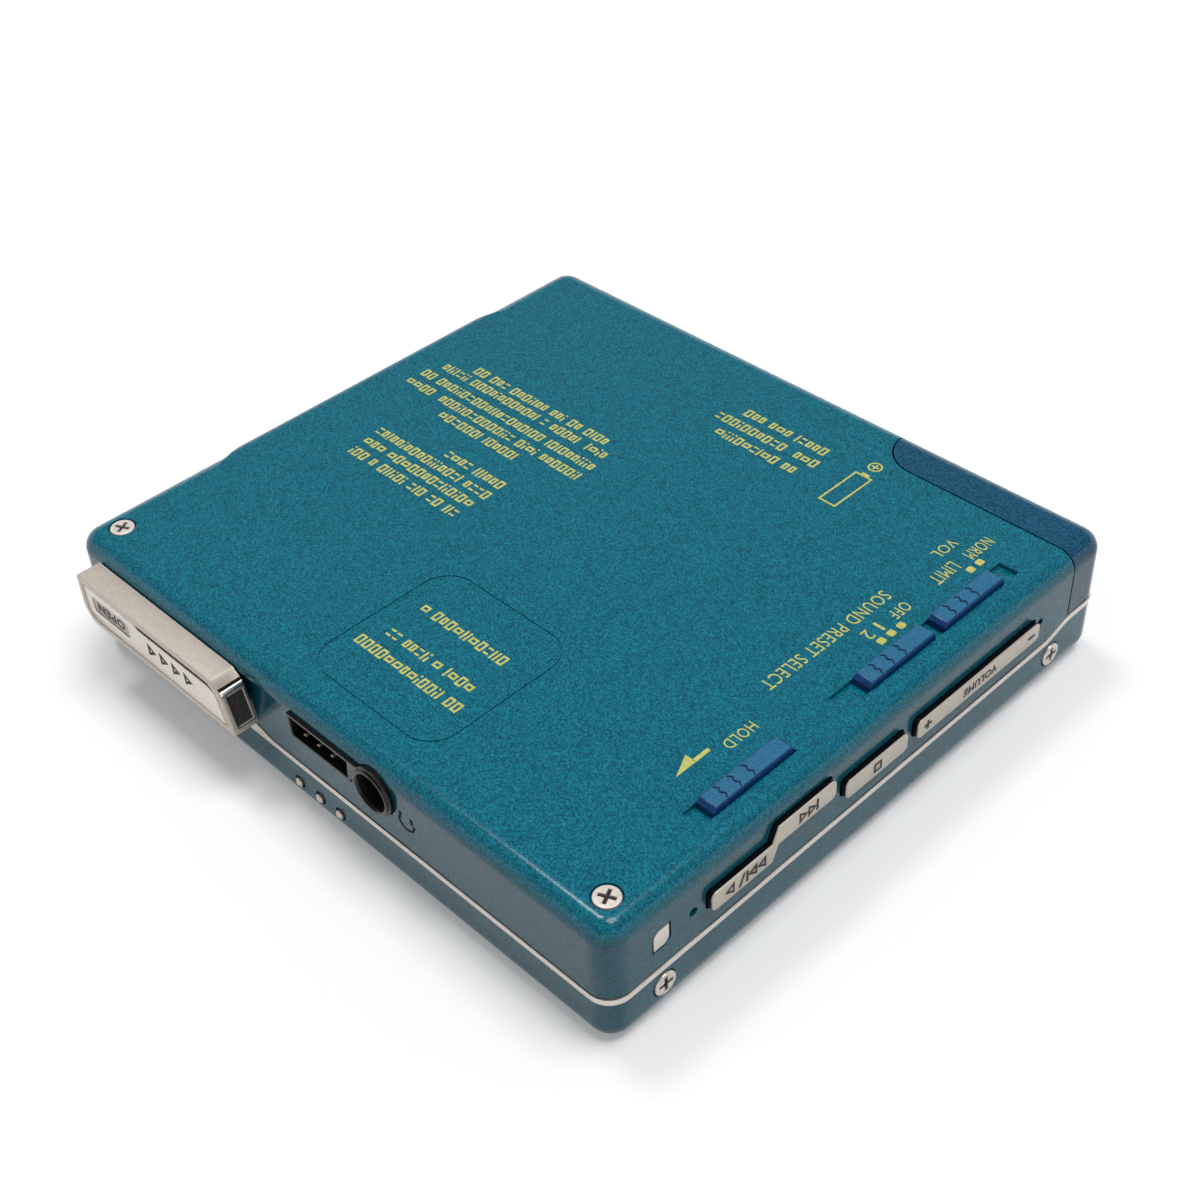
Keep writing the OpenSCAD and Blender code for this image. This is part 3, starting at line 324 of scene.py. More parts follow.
def ring(outer, line, sides=64):
    """A ring, or the outline of a regular shape with few sides."""
    deselect_all()
    bpy.ops.mesh.primitive_cylinder_add(
        vertices=sides, radius=outer * MM, depth=PRINT_DEPTH * MM, rotation=(0, 0, -math.pi / 2)
    )
    return opened(settle(bpy.context.active_object), line)


def box_outline(width, height, line):
    return opened(flat_block("box_outline", width, height), line)


def half_ring(outer, line):
    """A half ring, spun from a small face at its end."""
    deselect_all()
    bpy.ops.mesh.primitive_plane_add(
        size=MM, location=((outer - line / 2) * MM, 0, 0), rotation=(math.pi / 2, 0, 0)
    )
    piece = bpy.context.active_object
    piece.scale = (line, PRINT_DEPTH, 1)
    settle(piece)
    open_edit(piece)
    bpy.ops.mesh.select_all(action="SELECT")
    bpy.ops.mesh.spin(steps=24, angle=-math.pi, center=(0, 0, 0), axis=(0, 0, 1))
    bpy.ops.mesh.select_all(action="SELECT")
    bpy.ops.mesh.normals_make_consistent(inside=False)
    close_edit()
    return piece


def plus_mark(size, stroke, depth=PRINT_DEPTH):
    """An upright cross, its arms drawn out of a small block."""
    piece = flat_block("plus_mark", stroke, stroke, depth)
    for side in (ALONG_X, -ALONG_X, ALONG_Y, -ALONG_Y):
        arm = side * (size - stroke) / 2 * MM
        open_edit(piece)
        pick_faces(
            piece,
            lambda p, n: n.dot(side) > 0.9 and (p - side * p.dot(side)).length < 0.1 * stroke,
        )
        bpy.ops.mesh.extrude_region_move(TRANSFORM_OT_translate={"value": arm})
        close_edit()
    return piece


# Finishes

def linear(colour):
    """A colour in steps of 0 to 255 as linear values."""
    def channel(value):
        value /= 255
        return value / 12.92 if value <= 0.04045 else ((value + 0.055) / 1.055) ** 2.4
    return (*map(channel, colour), 1.0)


def new_finish(name, metallic=0.0, ior=1.5, coat=0.0, coat_rough=0.05):
    finish = bpy.data.materials.new(name)
    finish.use_nodes = True
    shader = finish.node_tree.nodes["Principled BSDF"]
    shader.inputs["Metallic"].default_value = metallic
    shader.inputs["IOR"].default_value = ior
    shader.inputs["Coat Weight"].default_value = coat
    shader.inputs["Coat Roughness"].default_value = coat_rough
    return finish, finish.node_tree, shader


def place_on(tree, stretch=(1, 1, 1)):
    coords = tree.nodes.new("ShaderNodeTexCoord")
    mapping = tree.nodes.new("ShaderNodeMapping")
    mapping.inputs["Scale"].default_value = stretch
    tree.links.new(coords.outputs["Object"], mapping.inputs["Vector"])
    return mapping.outputs["Vector"]


def grain(tree, size, stretch=(1, 1, 1), detail=2.0):
    """Soft noise with spots of about the given size."""
    noise = tree.nodes.new("ShaderNodeTexNoise")
    noise.inputs["Scale"].default_value = 1000.0 / size
    noise.inputs["Detail"].default_value = detail
    tree.links.new(place_on(tree, stretch), noise.inputs["Vector"])
    return noise.outputs["Fac"]


def flakes(tree, size):
    """Small cells, each with a shade of its own."""
    cells = tree.nodes.new("ShaderNodeTexVoronoi")
    cells.inputs["Scale"].default_value = 1000.0 / size
    tree.links.new(place_on(tree), cells.inputs["Vector"])
    return cells.outputs["Color"]


def between(tree, source, low, high):
    """Spreads a value of 0 to 1 between two others."""
    span = tree.nodes.new("ShaderNodeMapRange")
    span.inputs["To Min"].default_value = low
    span.inputs["To Max"].default_value = high
    tree.links.new(source, span.inputs["Value"])
    return span.outputs["Result"]


def tint(tree, shader, source, stops):
    """Colours the finish along a ramp of (position, colour)."""
    ramp = tree.nodes.new("ShaderNodeValToRGB")
    while len(ramp.color_ramp.elements) < len(stops):
        ramp.color_ramp.elements.new(0.5)
    for element, (position, colour) in zip(ramp.color_ramp.elements, stops):
        element.position = position
        element.color = linear(colour)
    tree.links.new(source, ramp.inputs["Fac"])
    tree.links.new(ramp.outputs["Color"], shader.inputs["Base Color"])


def dull(tree, shader, source, low, high):
    """Lets the roughness wander between two values."""
    tree.links.new(between(tree, source, low, high), shader.inputs["Roughness"])


def relief(tree, shader, source, height, strength):
    """Raises the surface by up to the given height."""
    bump = tree.nodes.new("ShaderNodeBump")
    bump.inputs["Distance"].default_value = height * MM
    bump.inputs["Strength"].default_value = strength
    tree.links.new(source, bump.inputs["Height"])
    tree.links.new(bump.outputs["Normal"], shader.inputs["Normal"])


def flake_paint(name, dark, body, light):
    finish, tree, shader = new_finish(name, metallic=0.05, coat=1.0, coat_rough=0.16)
    shader.inputs["Specular IOR Level"].default_value = 0.0
    shader.inputs["Coat IOR"].default_value = 1.4
    speck = flakes(tree, 0.13)
    tint(tree, shader, speck, [(0.2, dark), (0.5, body), (0.85, light)])
    dull(tree, shader, grain(tree, 0.8), 0.45, 0.58)
    relief(tree, shader, speck, 0.02, 0.15)
    return finish


def satin_metal(name, dark, light, metallic, low, high, stretch=(1, 1, 1), size=0.5):
    """A metal look with its roughness between low and high."""
    finish, tree, shader = new_finish(name, metallic=metallic)
    brushed = grain(tree, size, stretch, 3.0)
    tint(tree, shader, brushed, [(0.3, dark), (0.7, light)])
    dull(tree, shader, brushed, low, high)
    relief(tree, shader, brushed, 0.01, 0.2)
    return finish


def moulded(name, dark, light, low, high, size=0.25, raised=0.02, ior=1.5, coat=0.0):
    """A plastic look with its roughness between low and high."""
    finish, tree, shader = new_finish(name, ior=ior, coat=coat)
    skin = grain(tree, size)
    tint(tree, shader, skin, [(0.3, dark), (0.7, light)])
    dull(tree, shader, grain(tree, 4 * size), low, high)
    relief(tree, shader, skin, raised, 0.4)
    return finish


def circuit_green():
    finish, tree, shader = new_finish("circuit board green", coat=0.4, coat_rough=0.15)
    tracks = tree.nodes.new("ShaderNodeTexBrick")
    tracks.inputs["Scale"].default_value = 160.0
    tracks.inputs["Mortar Size"].default_value = 0.06
    tracks.inputs["Color1"].default_value = linear((16, 84, 56))
    tracks.inputs["Color2"].default_value = linear((22, 98, 64))
    tracks.inputs["Mortar"].default_value = linear((40, 124, 84))
    tree.links.new(place_on(tree), tracks.inputs["Vector"])
    tree.links.new(tracks.outputs["Color"], shader.inputs["Base Color"])
    dull(tree, shader, grain(tree, 1.0), 0.35, 0.5)
    relief(tree, shader, tracks.outputs["Fac"], 0.02, 0.5)
    return finish


TEAL = flake_paint("teal flake paint", (0, 80, 98), (3, 106, 128), (22, 132, 155))
DOOR_BLUE = flake_paint("blue flake paint", (4, 56, 86), (11, 80, 111), (30, 102, 134))
KNOB_BLUE = moulded(
    "grained blue plastic", (26, 97, 137), (50, 121, 158), 0.5, 0.65, raised=0.04, ior=1.35
)
# The knobs' sides are partly a smoother skin without grain and partly painted shade: their darker
# blue stands for light falling away from them.
KNOB_SIDE_SHADED = moulded(
    "smooth blue plastic with painted side shade", (0, 52, 106), (4, 64, 122), 0.3, 0.4,
    size=0.3, raised=0.01, ior=1.3, coat=0.25,
)
# The ribs' dark blue is painted shade of their sides.
RIB_SHADE_BLUE = moulded("blue ribs with painted shade", (8, 44, 76), (18, 60, 96), 0.5, 0.65, size=0.3, ior=1.35)
CHAMPAGNE = satin_metal(
    "satin champagne", (206, 194, 182), (218, 207, 196), 0.5, 0.3, 0.38, (1, 0.4, 1), 0.2
)
PLATE_SILVER = satin_metal(
    "pale satin plate", (230, 220, 211), (243, 235, 227), 0.65, 0.3, 0.38, (1, 0.4, 1), 0.2
)
KEY_SILVER = satin_metal(
    "silver key plastic", (204, 194, 180), (220, 211, 198), 0.4, 0.28, 0.36, (0.3, 1, 1), 0.2
)
STUD_METAL = satin_metal("stud metal", (190, 170, 160), (222, 206, 196), 0.7, 0.2, 0.35)
SCREW_STEEL = satin_metal("screw steel", (208, 197, 188), (238, 228, 219), 0.7, 0.22, 0.36)
HEAD_STEEL = satin_metal("pale screw steel", (222, 210, 201), (244, 234, 226), 0.2, 0.3, 0.42)
LIP_STEEL = satin_metal("polished lip", (236, 230, 222), (248, 244, 238), 0.8, 0.08, 0.16)
WINDOW_GREY = satin_metal(
    "grey window floor", (198, 190, 182), (216, 208, 200), 0.45, 0.35, 0.45
)
# Dark brown for the slider's end is a painted reflection of dark surroundings in its metal end
# face.
END_REFLECTION_BROWN = moulded("dark brown painted end reflection", (44, 38, 36), (70, 62, 58), 0.2, 0.35)
# Matt black serves as black plastic and print, and as painted shade in the slider's gaps and
# grooves and round the indicator window.
MATT_BLACK_AND_SHADE = moulded("matt black plastic and painted shade", (3, 3, 3), (9, 8, 8), 0.6, 0.75, ior=1.25)
SHEET_STEEL = satin_metal(
    "sheet steel", (150, 152, 154), (186, 188, 190), 0.85, 0.28, 0.45, (0.1, 1, 1)
)
ROD_STEEL = satin_metal(
    "ground steel", (176, 178, 180), (206, 207, 208), 0.95, 0.12, 0.25, (1, 0.1, 1)
)
GOLD = satin_metal("gold contact", (190, 146, 62), (226, 184, 96), 0.9, 0.2, 0.35)
BLACK = moulded("black plastic", (10, 10, 12), (26, 25, 28), 0.3, 0.45)
GLOSS_BLACK = moulded(
    "gloss black plastic", (4, 4, 5), (14, 13, 15), 0.1, 0.2, size=0.6, raised=0.004, ior=1.38
)
PRINT_YELLOW = moulded(
    "yellow print", (190, 189, 92), (214, 211, 120), 0.5, 0.65, size=0.4, raised=0.006
)
# Dark print also serves as painted shade at the floors of the screws' cross slots.
DARK_PRINT_AND_SHADE = moulded(
    "dark print and painted shade", (18, 16, 16), (38, 34, 32), 0.5, 0.65, size=0.4, raised=0.006
)
PALE_LENS = satin_metal("pale lens", (226, 218, 209), (240, 233, 225), 0.55, 0.14, 0.24)
LENS_GLASS = moulded(
    "coated lens", (58, 78, 122), (92, 110, 158), 0.04, 0.08, size=1.5, raised=0.002, ior=1.7
)
MAGNET = moulded("dark ferrite", (30, 30, 33), (52, 51, 54), 0.5, 0.7)
CELL_WRAP = moulded(
    "cell wrap", (170, 174, 166), (196, 199, 190), 0.2, 0.32, size=2.0, raised=0.004
)
BOARD_GREEN = circuit_green()

# Slide knobs with wavy ribs across their tops; the ribs and the knobs' sides are a darker blue as
# painted shade

KNOB_LOWERED = 0.08
RIB_START, RIB_WIDTH, RIB_REACH, RIB_STEP = 1.9, 0.2, 0.85, 1.8
RIB_SUNK, RIB_RAISED, RIB_WAVE = 0.06, 0.075, 0.3


def knob_rib(low, high):
    middle_y, start = (low.y + high.y) / 2, low.x + RIB_START
    top = high.z - KNOB_LOWERED
    rib = block(
        "rib",
        (start, middle_y - RIB_REACH, top - RIB_SUNK),
        (start + RIB_WIDTH, middle_y + RIB_REACH, top),
    )
    open_edit(rib)
    bpy.ops.mesh.select_all(action="SELECT")
    bpy.ops.mesh.subdivide(number_cuts=3)
    pick_points(rib, lambda p: 0.2 < abs(p.y - middle_y) < 0.6)
    bpy.ops.transform.translate(value=ALONG_X * RIB_WAVE * MM)
    pick_faces(rib, lambda p, n: n.z > 0.9)
    bpy.ops.mesh.extrude_region_move(
        TRANSFORM_OT_translate={"value": ALONG_Z * RIB_RAISED * MM}
    )
    bpy.ops.transform.resize(value=(0.85, 0.96, 1))
    close_edit()
    return rib


def slide_knob(node, body):
    low, high = [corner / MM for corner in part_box(node)]
    knob = copy_of_node(node, body + "_knob_top")
    shifted(knob, lambda p: p.z > high.z - 0.02, (0, 0, -KNOB_LOWERED))
    soften(knob, 0.14, lambda p: p.z > UNDERSIDE_Z + 0.2, bend=0.3)
    rib = knob_rib(low, high)
    ribs = [rib] + [moved(copied(rib), RIB_STEP * step, 0) for step in (1, 2)]
    ready(joined(ribs, body + "_knob_ribs"), body, RIB_SHADE_BLUE)
    # Sides in the darker blue as painted shade, faces pointing straight up in the lighter grained
    # blue.
    ready(knob, body, KNOB_SIDE_SHADED, node)
    second_finish(knob, KNOB_BLUE, lambda p, n: n.z > 0.97 and p.z > UNDERSIDE_Z)


for body in ("hold", "sound", "limit"):
    slide_knob(body + "_knob", body)

# Keys: dark bodies with bright caps on their fronts, and dark signs

CAP_SEAM_Y = KEY_FACE_Y + 0.2
CAP_FACE_Y = KEY_FACE_Y + 0.03
SIGN_Y = (KEY_FACE_Y + CAP_FACE_Y) / 2 + 0.002
SIGN_Z, SIGN_Z_RAISED = 9.7, 11.45
BAR = 0.27


def key(node, body):
    core = copy_of_node(node, body + "_key_body")
    cap = copy_of_node(node, body + "_key_cap")
    cut_across(core, (0, CAP_SEAM_Y, 0), ALONG_Y)
    ready(core, body, GLOSS_BLACK, node)
    cut_across(cap, (0, CAP_SEAM_Y, 0), -ALONG_Y)
    shifted(cap, lambda p: p.y < KEY_FACE_Y + 0.01, (0, CAP_FACE_Y - KEY_FACE_Y, 0))
    soften(cap, 0.09, lambda p: p.y < CAP_FACE_Y + 0.01, bend=0.3)
    ready(cap, body, KEY_SILVER)


for node, body in (("track_rocker", "track"), ("stop_key", "stop"), ("volume_rocker", "volume")):
    key(node, body)


def key_sign(parts, name, body, x, z=SIGN_Z, way=1):
    """Signs on the keys read from the hinge toward the slider, their tops to the lid."""
    sign = joined(parts, name)
    place = from_corner(x, CORNER_Y + SIGN_Y, z)
    laid(sign, place, ALONG_X * -way, ALONG_Z * -way)
    ready(sign, body, DARK_PRINT_AND_SHADE)


def arrow_outline(size, stroke=0.24):
    return ring(size, stroke, 3)


def skip_sign():
    arrows = [moved(arrow_outline(0.8), x, 0) for x in (-0.95, 0.25)]
    return arrows + [moved(dab(BAR, 1.4), 1.12, 0)]


def slash_sign():
    stroke = dab(BAR, 1.45)
    shifted(stroke, lambda p: p.y > 0, (0.3, 0, 0))
    shifted(stroke, lambda p: p.y < 0, (-0.3, 0, 0))
    return stroke


key_sign(skip_sign(), "skip_back_sign", "track", 24.7, SIGN_Z_RAISED, -1)
key_sign(skip_sign(), "skip_ahead_sign", "track", 17.6)
key_sign([slash_sign()], "slash_sign", "track", 15.8)
key_sign([arrow_outline(0.82)], "play_sign", "track", 14.4)
key_sign([turned(ring(0.8, 0.25, 4), z=math.pi / 4)], "stop_sign", "stop", 34.5)
key_sign([plus_mark(1.1, 0.3)], "louder_sign", "volume", 42.0)
key_sign([dab(1.1, 0.3)], "softer_sign", "volume", 58.6)
key_sign([word("VOLUME", 5.3, 1.0, bold=0.025)], "volume_word", "volume", 50.2)

# Open slider with its inset plate and window, a dark brown end as painted reflection, and black
# strips as painted shade in its gaps and grooves

slider = copy_of_node("open_slider", "slider_frame")
soften(slider, 0.14, lambda p: p.x < WALL_X - 0.2, bend=0.4)
ready(slider, "slider", CHAMPAGNE, "open_slider")

plate = copy_of_node("slider_plate", "slider_face")
seam_shade = copy_of_node("slider_plate", "slider_seam_shade")
shifted(plate, lambda p: p.x < SLIDER_FACE_X + 0.1, (0.05, 0, 0))
open_edit(plate)
for y in (24.4, 25.0):
    bpy.ops.mesh.select_all(action="SELECT")
    bpy.ops.mesh.bisect(plane_co=(0, y * MM, 0), plane_no=ALONG_Y)
close_edit()
shifted(plate, lambda p: p.z > 12.3 and p.y < 24.6, (0, 0, -0.45))
shifted(plate, lambda p: p.y < 12.6, (0, 0.2, 0))
shifted(plate, lambda p: p.z < 8.5, (0, 0, -0.13))
soften(plate, 0.04, lambda p: p.x < SLIDER_FACE_X + 0.15, 2, 0.4)
ready(plate, "slider", PLATE_SILVER, "slider_plate")

# A black copy of the plate, set back and widened, fills the groove between plate and frame with
# painted shade.
shifted(seam_shade, lambda p: p.x < SLIDER_FACE_X + 0.3, (0.17, 0, 0))
open_edit(seam_shade)
pick_faces(seam_shade, lambda p, n: abs(n.x) < 0.5)
bpy.ops.transform.shrink_fatten(value=0.13 * MM)
close_edit()
ready(seam_shade, "slider", MATT_BLACK_AND_SHADE)

window_floor = block("open_window", (-38.79, 26.42, 9.62), (-38.7, 33.0, 11.58))
soften(window_floor, 0.02, lambda p: p.x < -38.78, 2)
ready(window_floor, "slider", WINDOW_GREY)

# The slider's end face in dark brown, set in a shallow recess, is a painted reflection of dark
# surroundings in the metal end.
end_reflection = block("slider_end_reflection", (-38.32, 9.08, 7.95), (-36.18, 11.0, 11.85))
shifted(end_reflection, lambda p: p.y < 10 and p.z > 10, (0, 1.14, 0))
open_edit(end_reflection)
pick_faces(end_reflection, lambda p, n: n.y < -0.5)
bpy.ops.mesh.inset(thickness=0.22 * MM)
bpy.ops.transform.translate(value=ALONG_Y * 0.12 * MM)
close_edit()
soften(end_reflection, 0.06, lambda p: p.y < 10.9, 2, 0.4)
ready(end_reflection, "slider", END_REFLECTION_BROWN)

lip = block("slider_end_lip", (-38.8, 10.08, 11.88), (-36.2, 10.9, 12.44))
soften(lip, 0.2, lambda p: p.y < 10.2, 4)
ready(lip, "slider", LIP_STEEL)
# A black strip behind the lip is painted shade in the groove above it.
lip_groove_shade = block("slider_end_groove_shade", (-38.8, 10.33, 12.4), (-36.2, 10.9, 12.56))
soften(lip_groove_shade, 0.03, lambda p: p.y < 10.4, 2)
ready(lip_groove_shade, "slider", MATT_BLACK_AND_SHADE)
# A black strip between the slider and the wall is painted shade in the gap.
gap_shade = block("slider_gap_shade", (-36.14, 11.2, 12.5), (-36.03, 34.6, 13.24))
soften(gap_shade, 0.02, lambda p: p.z > 13.2, 2)
ready(gap_shade, "slider", MATT_BLACK_AND_SHADE)


def wall_sign(parts, name, body, finish, x, y, z):
    """Signs on the slider's wall read from the keys toward the back, their tops to the lid."""
    sign = joined(parts, name)
    laid(sign, from_corner(x, y, z), ALONG_Y, -ALONG_Z)
    ready(sign, body, finish)


arrows = [
    moved(turned(arrow_outline(0.95, 0.33), z=math.pi), 2.1 * step, 0) for step in range(4)
]
wall_sign(arrows, "slide_arrows", "slider", DARK_PRINT_AND_SHADE, -2.905, 55.7, 10.4)
open_word = word("OPEN", 4.9, 1.15, bold=0.025)
wall_sign([open_word], "open_word", "slider", DARK_PRINT_AND_SHADE, -2.795, 69.2, 10.6)

# Sockets: softened bezel, pins in the flat socket and a headphone sign

PIN_Y, PIN_Z = (36.75, 38.8, 40.85), 10.4

bezel = copy_of_node("jack_block", "socket_bezel")
soften(bezel, 0.07, lambda p: p.x < WALL_X - 0.2, 2)
ready(bezel, "base", GLOSS_BLACK, "jack_block")
second_finish(bezel, MATT_BLACK_AND_SHADE, lambda p, n: p.x > WALL_X - 0.3)

pin = block("pin", (0.25, -0.19, 0), (1.7, 0.19, 0.22))
soften(pin, 0.1, lambda p: p.z > 0.2)
pins = [pin] + [copied(pin) for _ in PIN_Y[1:]]
for piece, y in zip(pins, PIN_Y):
    moved(piece, WALL_X, y - CORNER_Y, PIN_Z)
ready(joined(pins, "socket_pins"), "base", SCREW_STEEL)

headband = half_ring(1.2, 0.26)
earpads = [moved(dab(0.38, 0.75), side * 0.78, -0.45) for side in (-1, 1)]
wall_sign(
    [headband] + earpads, "headphone_sign", "base", MATT_BLACK_AND_SHADE, -PRINT_LIFT, 25.75, 10.0
)

# Indicator: a pale window in a black seat, whose rim round the window is painted shade of the gap

window_gap_shade = copy_of_node("indicator_lens", "indicator_gap_shade")
window = copy_of_node("indicator_lens", "indicator_window")
shifted(window_gap_shade, lambda p: p.y < -39.4, (0, 0.12, 0))
ready(window_gap_shade, "base", MATT_BLACK_AND_SHADE, "indicator_lens")
low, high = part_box("indicator_lens")
cut_across(window, (0, -38.7, 0), -ALONG_Y)
open_edit(window)
bpy.ops.mesh.select_all(action="SELECT")
bpy.ops.transform.resize(value=(0.86, 1, 0.88), center_override=(low + high) / 2)
close_edit()
soften(window, 0.07, lambda p: p.y < -39.4, bend=0.4)
ready(window, "base", PALE_LENS)

# Screws with softened rims, and dark crosses as painted shade in their slots

HEAD_RADIUS = 1.28
SLOT_SUNK = 0.29


# A dark cross at a slot's floor is painted shade of the recess.
def slot_shade(x, y, z, tilt=0.0, turn=0.0):
    slot = turned(plus_mark(1.66, 0.36, 0.1), x=tilt, z=turn)
    return moved(slot, x, y, z)


def head_rim(centres, axis, face):
    """Tells the points on the rim of a screw's outer face."""
    def test(p):
        across = [p - centre for centre in centres]
        for offset in across:
            offset[axis] = 0.0
        on_face = abs(abs(p[axis]) - face) < 0.02
        return on_face and any(abs(o.length - HEAD_RADIUS) < 0.05 for o in across)
    return test


base_screw_at = [Vector((-32.54, -36.19, UNDERSIDE_Z)), Vector((-32.15, 36.16, UNDERSIDE_Z))]
base_heads = copy_of_node("base_screws", "base_screw_heads")
soften(base_heads, 0.1, head_rim(base_screw_at, 2, UNDERSIDE_Z))
ready(base_heads, "base", HEAD_STEEL, "base_screws")
slot_shades = [
    slot_shade(at.x, at.y, at.z - SLOT_SUNK, turn=math.radians(25)) for at in base_screw_at
]
ready(joined(slot_shades, "base_screw_slot_shade"), "base", DARK_PRINT_AND_SHADE)

low, high = [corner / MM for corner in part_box("lid_screws")]
lid_screw_x, lid_screw_z = (low.x + HEAD_RADIUS, high.x - HEAD_RADIUS), (low.z + high.z) / 2
lid_screw_at = [Vector((x, 0, lid_screw_z)) for x in lid_screw_x]
lid_heads = copy_of_node("lid_screws", "lid_screw_heads")
soften(lid_heads, 0.1, head_rim(lid_screw_at, 1, high.y))
ready(lid_heads, "lid", SCREW_STEEL, "lid_screws")
slot_shades = [
    slot_shade(x, side * (high.y - SLOT_SUNK), lid_screw_z, tilt=math.pi / 2)
    for side in (-1, 1) for x in lid_screw_x
]
ready(joined(slot_shades, "lid_screw_slot_shade"), "lid", DARK_PRINT_AND_SHADE)


def deck_screw(thick=0.3):
    """A low screw head that hangs under the deck."""
    deselect_all()
    bpy.ops.mesh.primitive_cylinder_add(
        vertices=32, radius=1.3 * MM, depth=thick * MM, location=(0, 0, (DECK_Z - thick / 2) * MM)
    )
    head = settle(bpy.context.active_object)
    soften(head, 0.12, lambda p: p.z < DECK_Z - 0.2)
    return head


deck_at = [from_corner(x, y, 0) / MM for x in (10.0, 60.0) for y in (20.0, 59.0)]
heads = [deck_screw()]
heads += [copied(heads[0]) for _ in deck_at[1:]]
for head, at in zip(heads, deck_at):
    moved(head, at.x, at.y)
slot_shades = [slot_shade(at.x, at.y, DECK_Z - 0.26) for at in deck_at]
ready(joined(heads, "deck_screw_heads"), "base", SCREW_STEEL)
ready(joined(slot_shades, "deck_screw_slot_shade"), "base", DARK_PRINT_AND_SHADE)

# Yellow print on the underside

DOTS_X, DOTS_Y = 50, 6


def switch_print(parts, name, x, y):
    """Print that reads from the hinge toward the slider, its top to the keys."""
    mark = joined(parts, name)
    laid(mark, from_corner(x, y, UNDERSIDE_Z + PRINT_LIFT), -ALONG_X, -ALONG_Y)
    ready(mark, "base", PRINT_YELLOW)


switch_print([word("HOLD", 3.85, 1.25)], "hold_word", 24.9, 7.77)
arrow_shaft = moved(dab(2.0, 0.44, corner=0.05), -1.2, -0.22)
arrow_barb = moved(pointer(2.55, 1.3, tip=0.65), -0.25, -0.65)
switch_print([arrow_shaft, arrow_barb], "hold_arrow", 19.5, 8.42)

switch_words = [
    ("SOUND PRESET SELECT", 18.0, 1.5, "sound_words", 40.15, 10.33),
    ("OFF", 2.45, 1.35, "off_word", 48.07, 7.86),
    ("1", 0.34, 1.4, "one_mark", 44.87, 7.86),
    ("2", 0.95, 1.4, "two_mark", 43.2, 7.86),
    ("VOL", 3.2, 1.3, "volume_mark", 58.5, 10.4),
    ("LIMIT", 3.6, 1.5, "limit_word", 55.45, 8.1),
    ("NORM", 3.7, 1.45, "norm_word", 60.85, 7.94),
]
for letters, width, height, name, x, y in switch_words:
    switch_print([word(letters, width, height)], name, x, y)

dots = [
    moved(dab(0.9, 0.82, corner=0.25), DOTS_X - x, DOTS_Y - y)
    for x, y in ((43.4, 6.4), (44.9, 6.4), (46.4, 6.4), (57.6, 6.52), (59.1, 6.55))
]
switch_print(dots, "switch_dots", DOTS_X, DOTS_Y)

# Small print: rows of plain marks

LINE = 0.18
MARK_GAP, WORD_GAP = 0.2, 0.45
WORD_GAP_SHARE = 0.1
MARK_SHARES = (0, 0, 0, 1, 1, 2, 2, 3, 4, 5)

bar_pair = [moved(dab(0.5, LINE), 0, y) for y in (0.3, -0.3)]
bar_and_dot = [moved(dab(LINE, 0.6), 0, 0.2), moved(dab(LINE, LINE), 0, -0.43)]
marks = [
    (box_outline(0.62, 1.0, LINE), 0.62),
    (box_outline(0.5, 0.8, LINE), 0.5),
    (dab(LINE, 1.0), LINE),
    (joined(bar_pair, "bar_pair"), 0.5),
    (joined(bar_and_dot, "bar_and_dot"), LINE),
    (box_outline(0.72, 0.62, LINE), 0.72),
]


def print_rows(name, tall, rows):
    """Rows given as the place of their start, from the corner, and their length."""
    pieces = []
    for x, y, length in rows:
        spot = 0.0
        while spot < length:
            if chance.random() < WORD_GAP_SHARE:
                spot += WORD_GAP * tall
                continue
            shape, width = marks[chance.choice(MARK_SHARES)]
            mark = copied(shape)
            mark.scale = (tall, tall, 1)
            settle(mark)
            place = from_corner(x, y + spot + width * tall / 2, UNDERSIDE_Z + PRINT_LIFT)
            pieces.append(laid(mark, place, ALONG_Y, -ALONG_X))
            spot += (width + MARK_GAP) * tall
    ready(joined(pieces, name), "base", PRINT_YELLOW)


print_rows("panel_print", 1.3, [(9.8, 28.9, 15.0), (12.4, 30.0, 12.2), (17.0, 30.5, 11.2)])
print_rows("middle_print", 1.35, [
    (29.0, 51.2, 17.4), (31.2, 51.2, 17.4), (33.3, 50.9, 18.0), (35.5, 51.1, 9.2),
])
print_rows("back_print", 1.3, [
    (40.0, 54.0, 12.2), (42.1, 46.3, 27.4), (44.3, 46.3, 27.6), (46.7, 46.8, 26.6),
    (48.6, 48.5, 21.6),
])
print_rows("cell_print", 1.35, [(58.35, 30.0, 11.2), (60.7, 28.9, 13.6), (63.05, 29.5, 12.0)])
deselect_all()
for shape, _ in marks:
    shape.select_set(True)
bpy.ops.object.delete()

# Cell sign beside the battery door

cell_sign = [box_outline(6.28, 2.28, 0.22), moved(dab(0.4, 1.0), -3.33, 0)]
switch_print(cell_sign, "cell_outline", 59.5, 24.0)
switch_print([ring(0.82, 0.2), plus_mark(0.95, 0.2)], "cell_plus", 64.55, 24.05)

# Stage and light

FLOOR_DROP = 0.02
COLOUR_A, COLOUR_B, COLOUR_OUT = 6, 7, 2


def larger(tree, first, second):
    node = tree.nodes.new("ShaderNodeMath")
    node.operation = "MAXIMUM"
    tree.links.new(first, node.inputs[0])
    tree.links.new(second, node.inputs[1])
    return node.outputs[0]


def seen_rays(tree):
    """Picks the rays that show the background: from the camera, off metal and through glass."""
    rays = tree.nodes.new("ShaderNodeLightPath").outputs
    pair = larger(tree, rays["Is Camera Ray"], rays["Is Glossy Ray"])
    return larger(tree, pair, rays["Is Transmission Ray"])


def glow(tree, low, high):
    """White light from a surface, stronger for the rays that show the background."""
    light = tree.nodes.new("ShaderNodeEmission")
    tree.links.new(between(tree, seen_rays(tree), low, high), light.inputs["Strength"])
    return light.outputs[0]


